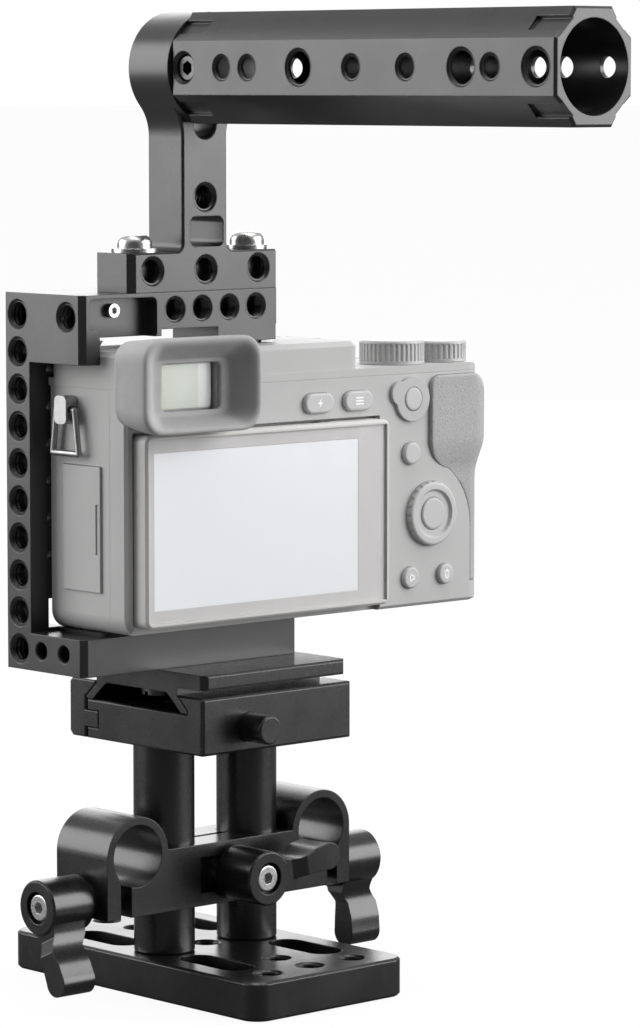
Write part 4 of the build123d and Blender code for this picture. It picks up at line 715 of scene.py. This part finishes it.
def button_marks():
    """A bolt, three lines, a triangle and a bin."""
    bolt = [(0.5, 1.3), (-0.8, -0.15), (-0.05, -0.15), (-0.45, -1.3), (0.85, 0.25), (0.1, 0.25)]
    printed("flash_button_mark", "flash_button", [bolt])
    lines = [bar(-1.3, v, 1.3, v, 0.36) for v in (0.75, 0.0, -0.75)]
    printed("menu_button_mark", "menu_button", lines)
    stroke = 0.34
    foot, head, tip = (-0.8, -1.0), (-0.8, 1.0), (1.0, 0.0)
    sides = ((foot, head), (head, tip), (tip, foot))
    printed("play_button_mark", "play_button", [bar(*a, *b, stroke) for a, b in sides])
    stroke = 0.28
    bin_lines = [
        bar(-0.95, 0.75, 0.95, 0.75, 0.30), bar(-0.7, 0.75, -0.5, -1.0, stroke),
        bar(0.7, 0.75, 0.5, -1.0, stroke), bar(-0.5, -1.0, 0.5, -1.0, stroke),
        bar(-0.3, 1.05, 0.3, 1.05, stroke), bar(0, 0.5, 0, -0.8, 0.22)]
    printed("trash_button_mark", "trash_button", bin_lines)


def dial_marks():
    """Ten ticks round the mode dial, two of them longer."""
    count, outer, inner, long_inner, stroke = 10, 7.3, 5.2, 3.9, 0.5
    ticks = []
    for k in range(count):
        angle = 2 * math.pi * k / count
        c, s = math.cos(angle), math.sin(angle)
        start = inner if k % (count // 2) else long_inner
        ticks.append(bar(start * c, start * s, outer * c, outer * s, stroke))
    printed("mode_dial_marks", "mode_dial", ticks, on_top=True)


make_eyecup()
make_hand_grip()
make_thumb_rest()
baseplate_threads()
cage_threads()
bracket_threads()
handle_threads()
button_marks()
dial_marks()

# ---------------------------------------------------------------- stage, light

AZIMUTH = math.radians(42.6)      # the camera stands behind the rig, to its left
DROP = math.radians(5.67)         # and looks slightly down
AIM = Vector((0.03845, 0.0, 0.11369))
DISTANCE = 1.0959
LENS = 152.5
SENSOR_WIDTH = 36
AWAY = Vector((-math.sin(AZIMUTH) * math.cos(DROP), -math.cos(AZIMUTH) * math.cos(DROP), math.sin(DROP)))
WHITE = grey(1.0)


def make_stage():
    """Plain pale floor. Seen directly it is nearly white; seen in reflections it is darker."""
    bpy.ops.mesh.primitive_plane_add(size=60, location=(0, 0, -0.0004))
    floor = bpy.context.object
    floor.name = "floor"
    material, tree = new_material("floor")
    place = node(tree, "TexCoord").outputs["Object"]
    soft = node(tree, "TexNoise", {"Vector": place, "Scale": 1.5, "Detail": 3.0}).outputs["Fac"]
    pale = node(tree, "BsdfDiffuse", {"Color": mix_colour(tree, soft, grey(0.86), grey(0.89))})
    glow = node(tree, "Emission", {"Color": WHITE, "Strength": 1.0})
    seen = mix_shader(tree, 0.06, glow, pale)
    dim = node(tree, "BsdfDiffuse", {"Color": grey(0.14)})
    ray = node(tree, "LightPath").outputs["Is Camera Ray"]
    to_output(tree, mix_shader(tree, ray, dim, seen))
    floor.data.materials.append(material)


def make_world():
    """Soft overhead dome that falls away towards the camera; white where the camera looks."""
    world = bpy.data.worlds.new("studio")
    bpy.context.scene.world = world
    world.use_nodes = True
    tree = world.node_tree
    tree.nodes.clear()
    direction = node(tree, "TexCoord").outputs["Generated"]
    dome = remap(tree, axis_of(tree, direction, "Z"), -0.1, 0.8, 0.25, 0.75)
    behind = remap(tree, dot(tree, direction, tuple(AWAY)), 0.55, 0.92, 1.0, 0.12)
    lit = node(tree, "Background", {"Color": WHITE, "Strength": multiply(tree, dome, behind)})
    seen = node(tree, "Background", {"Color": WHITE, "Strength": 1.0})
    ray = node(tree, "LightPath").outputs["Is Camera Ray"]
    to_output(tree, mix_shader(tree, ray, lit, seen), "OutputWorld")


CENTRE = Vector((0.0, 0.0, 0.12))

# name, place, side length, power
SOFT_BOXES = (
    ("left_front", (-1.25, 1.25, 0.52), 1.5, 29),
    ("right_rear", (1.25, -1.25, 0.52), 1.5, 40),
    ("right_front", (1.0, 1.4, 0.7), 1.2, 10),
    ("overhead", (0.1, -0.1, 1.6), 1.2, 12),
)


def soft_box(name, place, side, power):
    """Square area light turned towards the rig's middle."""
    light = bpy.data.lights.new(name, "AREA")
    light.shape = "RECTANGLE"
    light.size = side
    light.size_y = side
    light.energy = power
    box = bpy.data.objects.new(name, light)
    box.location = place
    box.rotation_euler = (CENTRE - Vector(place)).to_track_quat("-Z", "Y").to_euler()
    bpy.context.scene.collection.objects.link(box)


def make_camera():
    """Long lens aimed at the middle of the rig."""
    data = bpy.data.cameras.new("view")
    data.lens = LENS
    data.sensor_width = SENSOR_WIDTH
    data.clip_end = 50
    view = bpy.data.objects.new("view", data)
    view.location = AIM + AWAY * DISTANCE
    view.rotation_euler = (-AWAY).to_track_quat("-Z", "Y").to_euler()
    bpy.context.scene.collection.objects.link(view)
    bpy.context.scene.camera = view


make_stage()
make_world()
for box in SOFT_BOXES:
    soft_box(*box)
make_camera()
bpy.context.scene.view_settings.view_transform = "Standard"
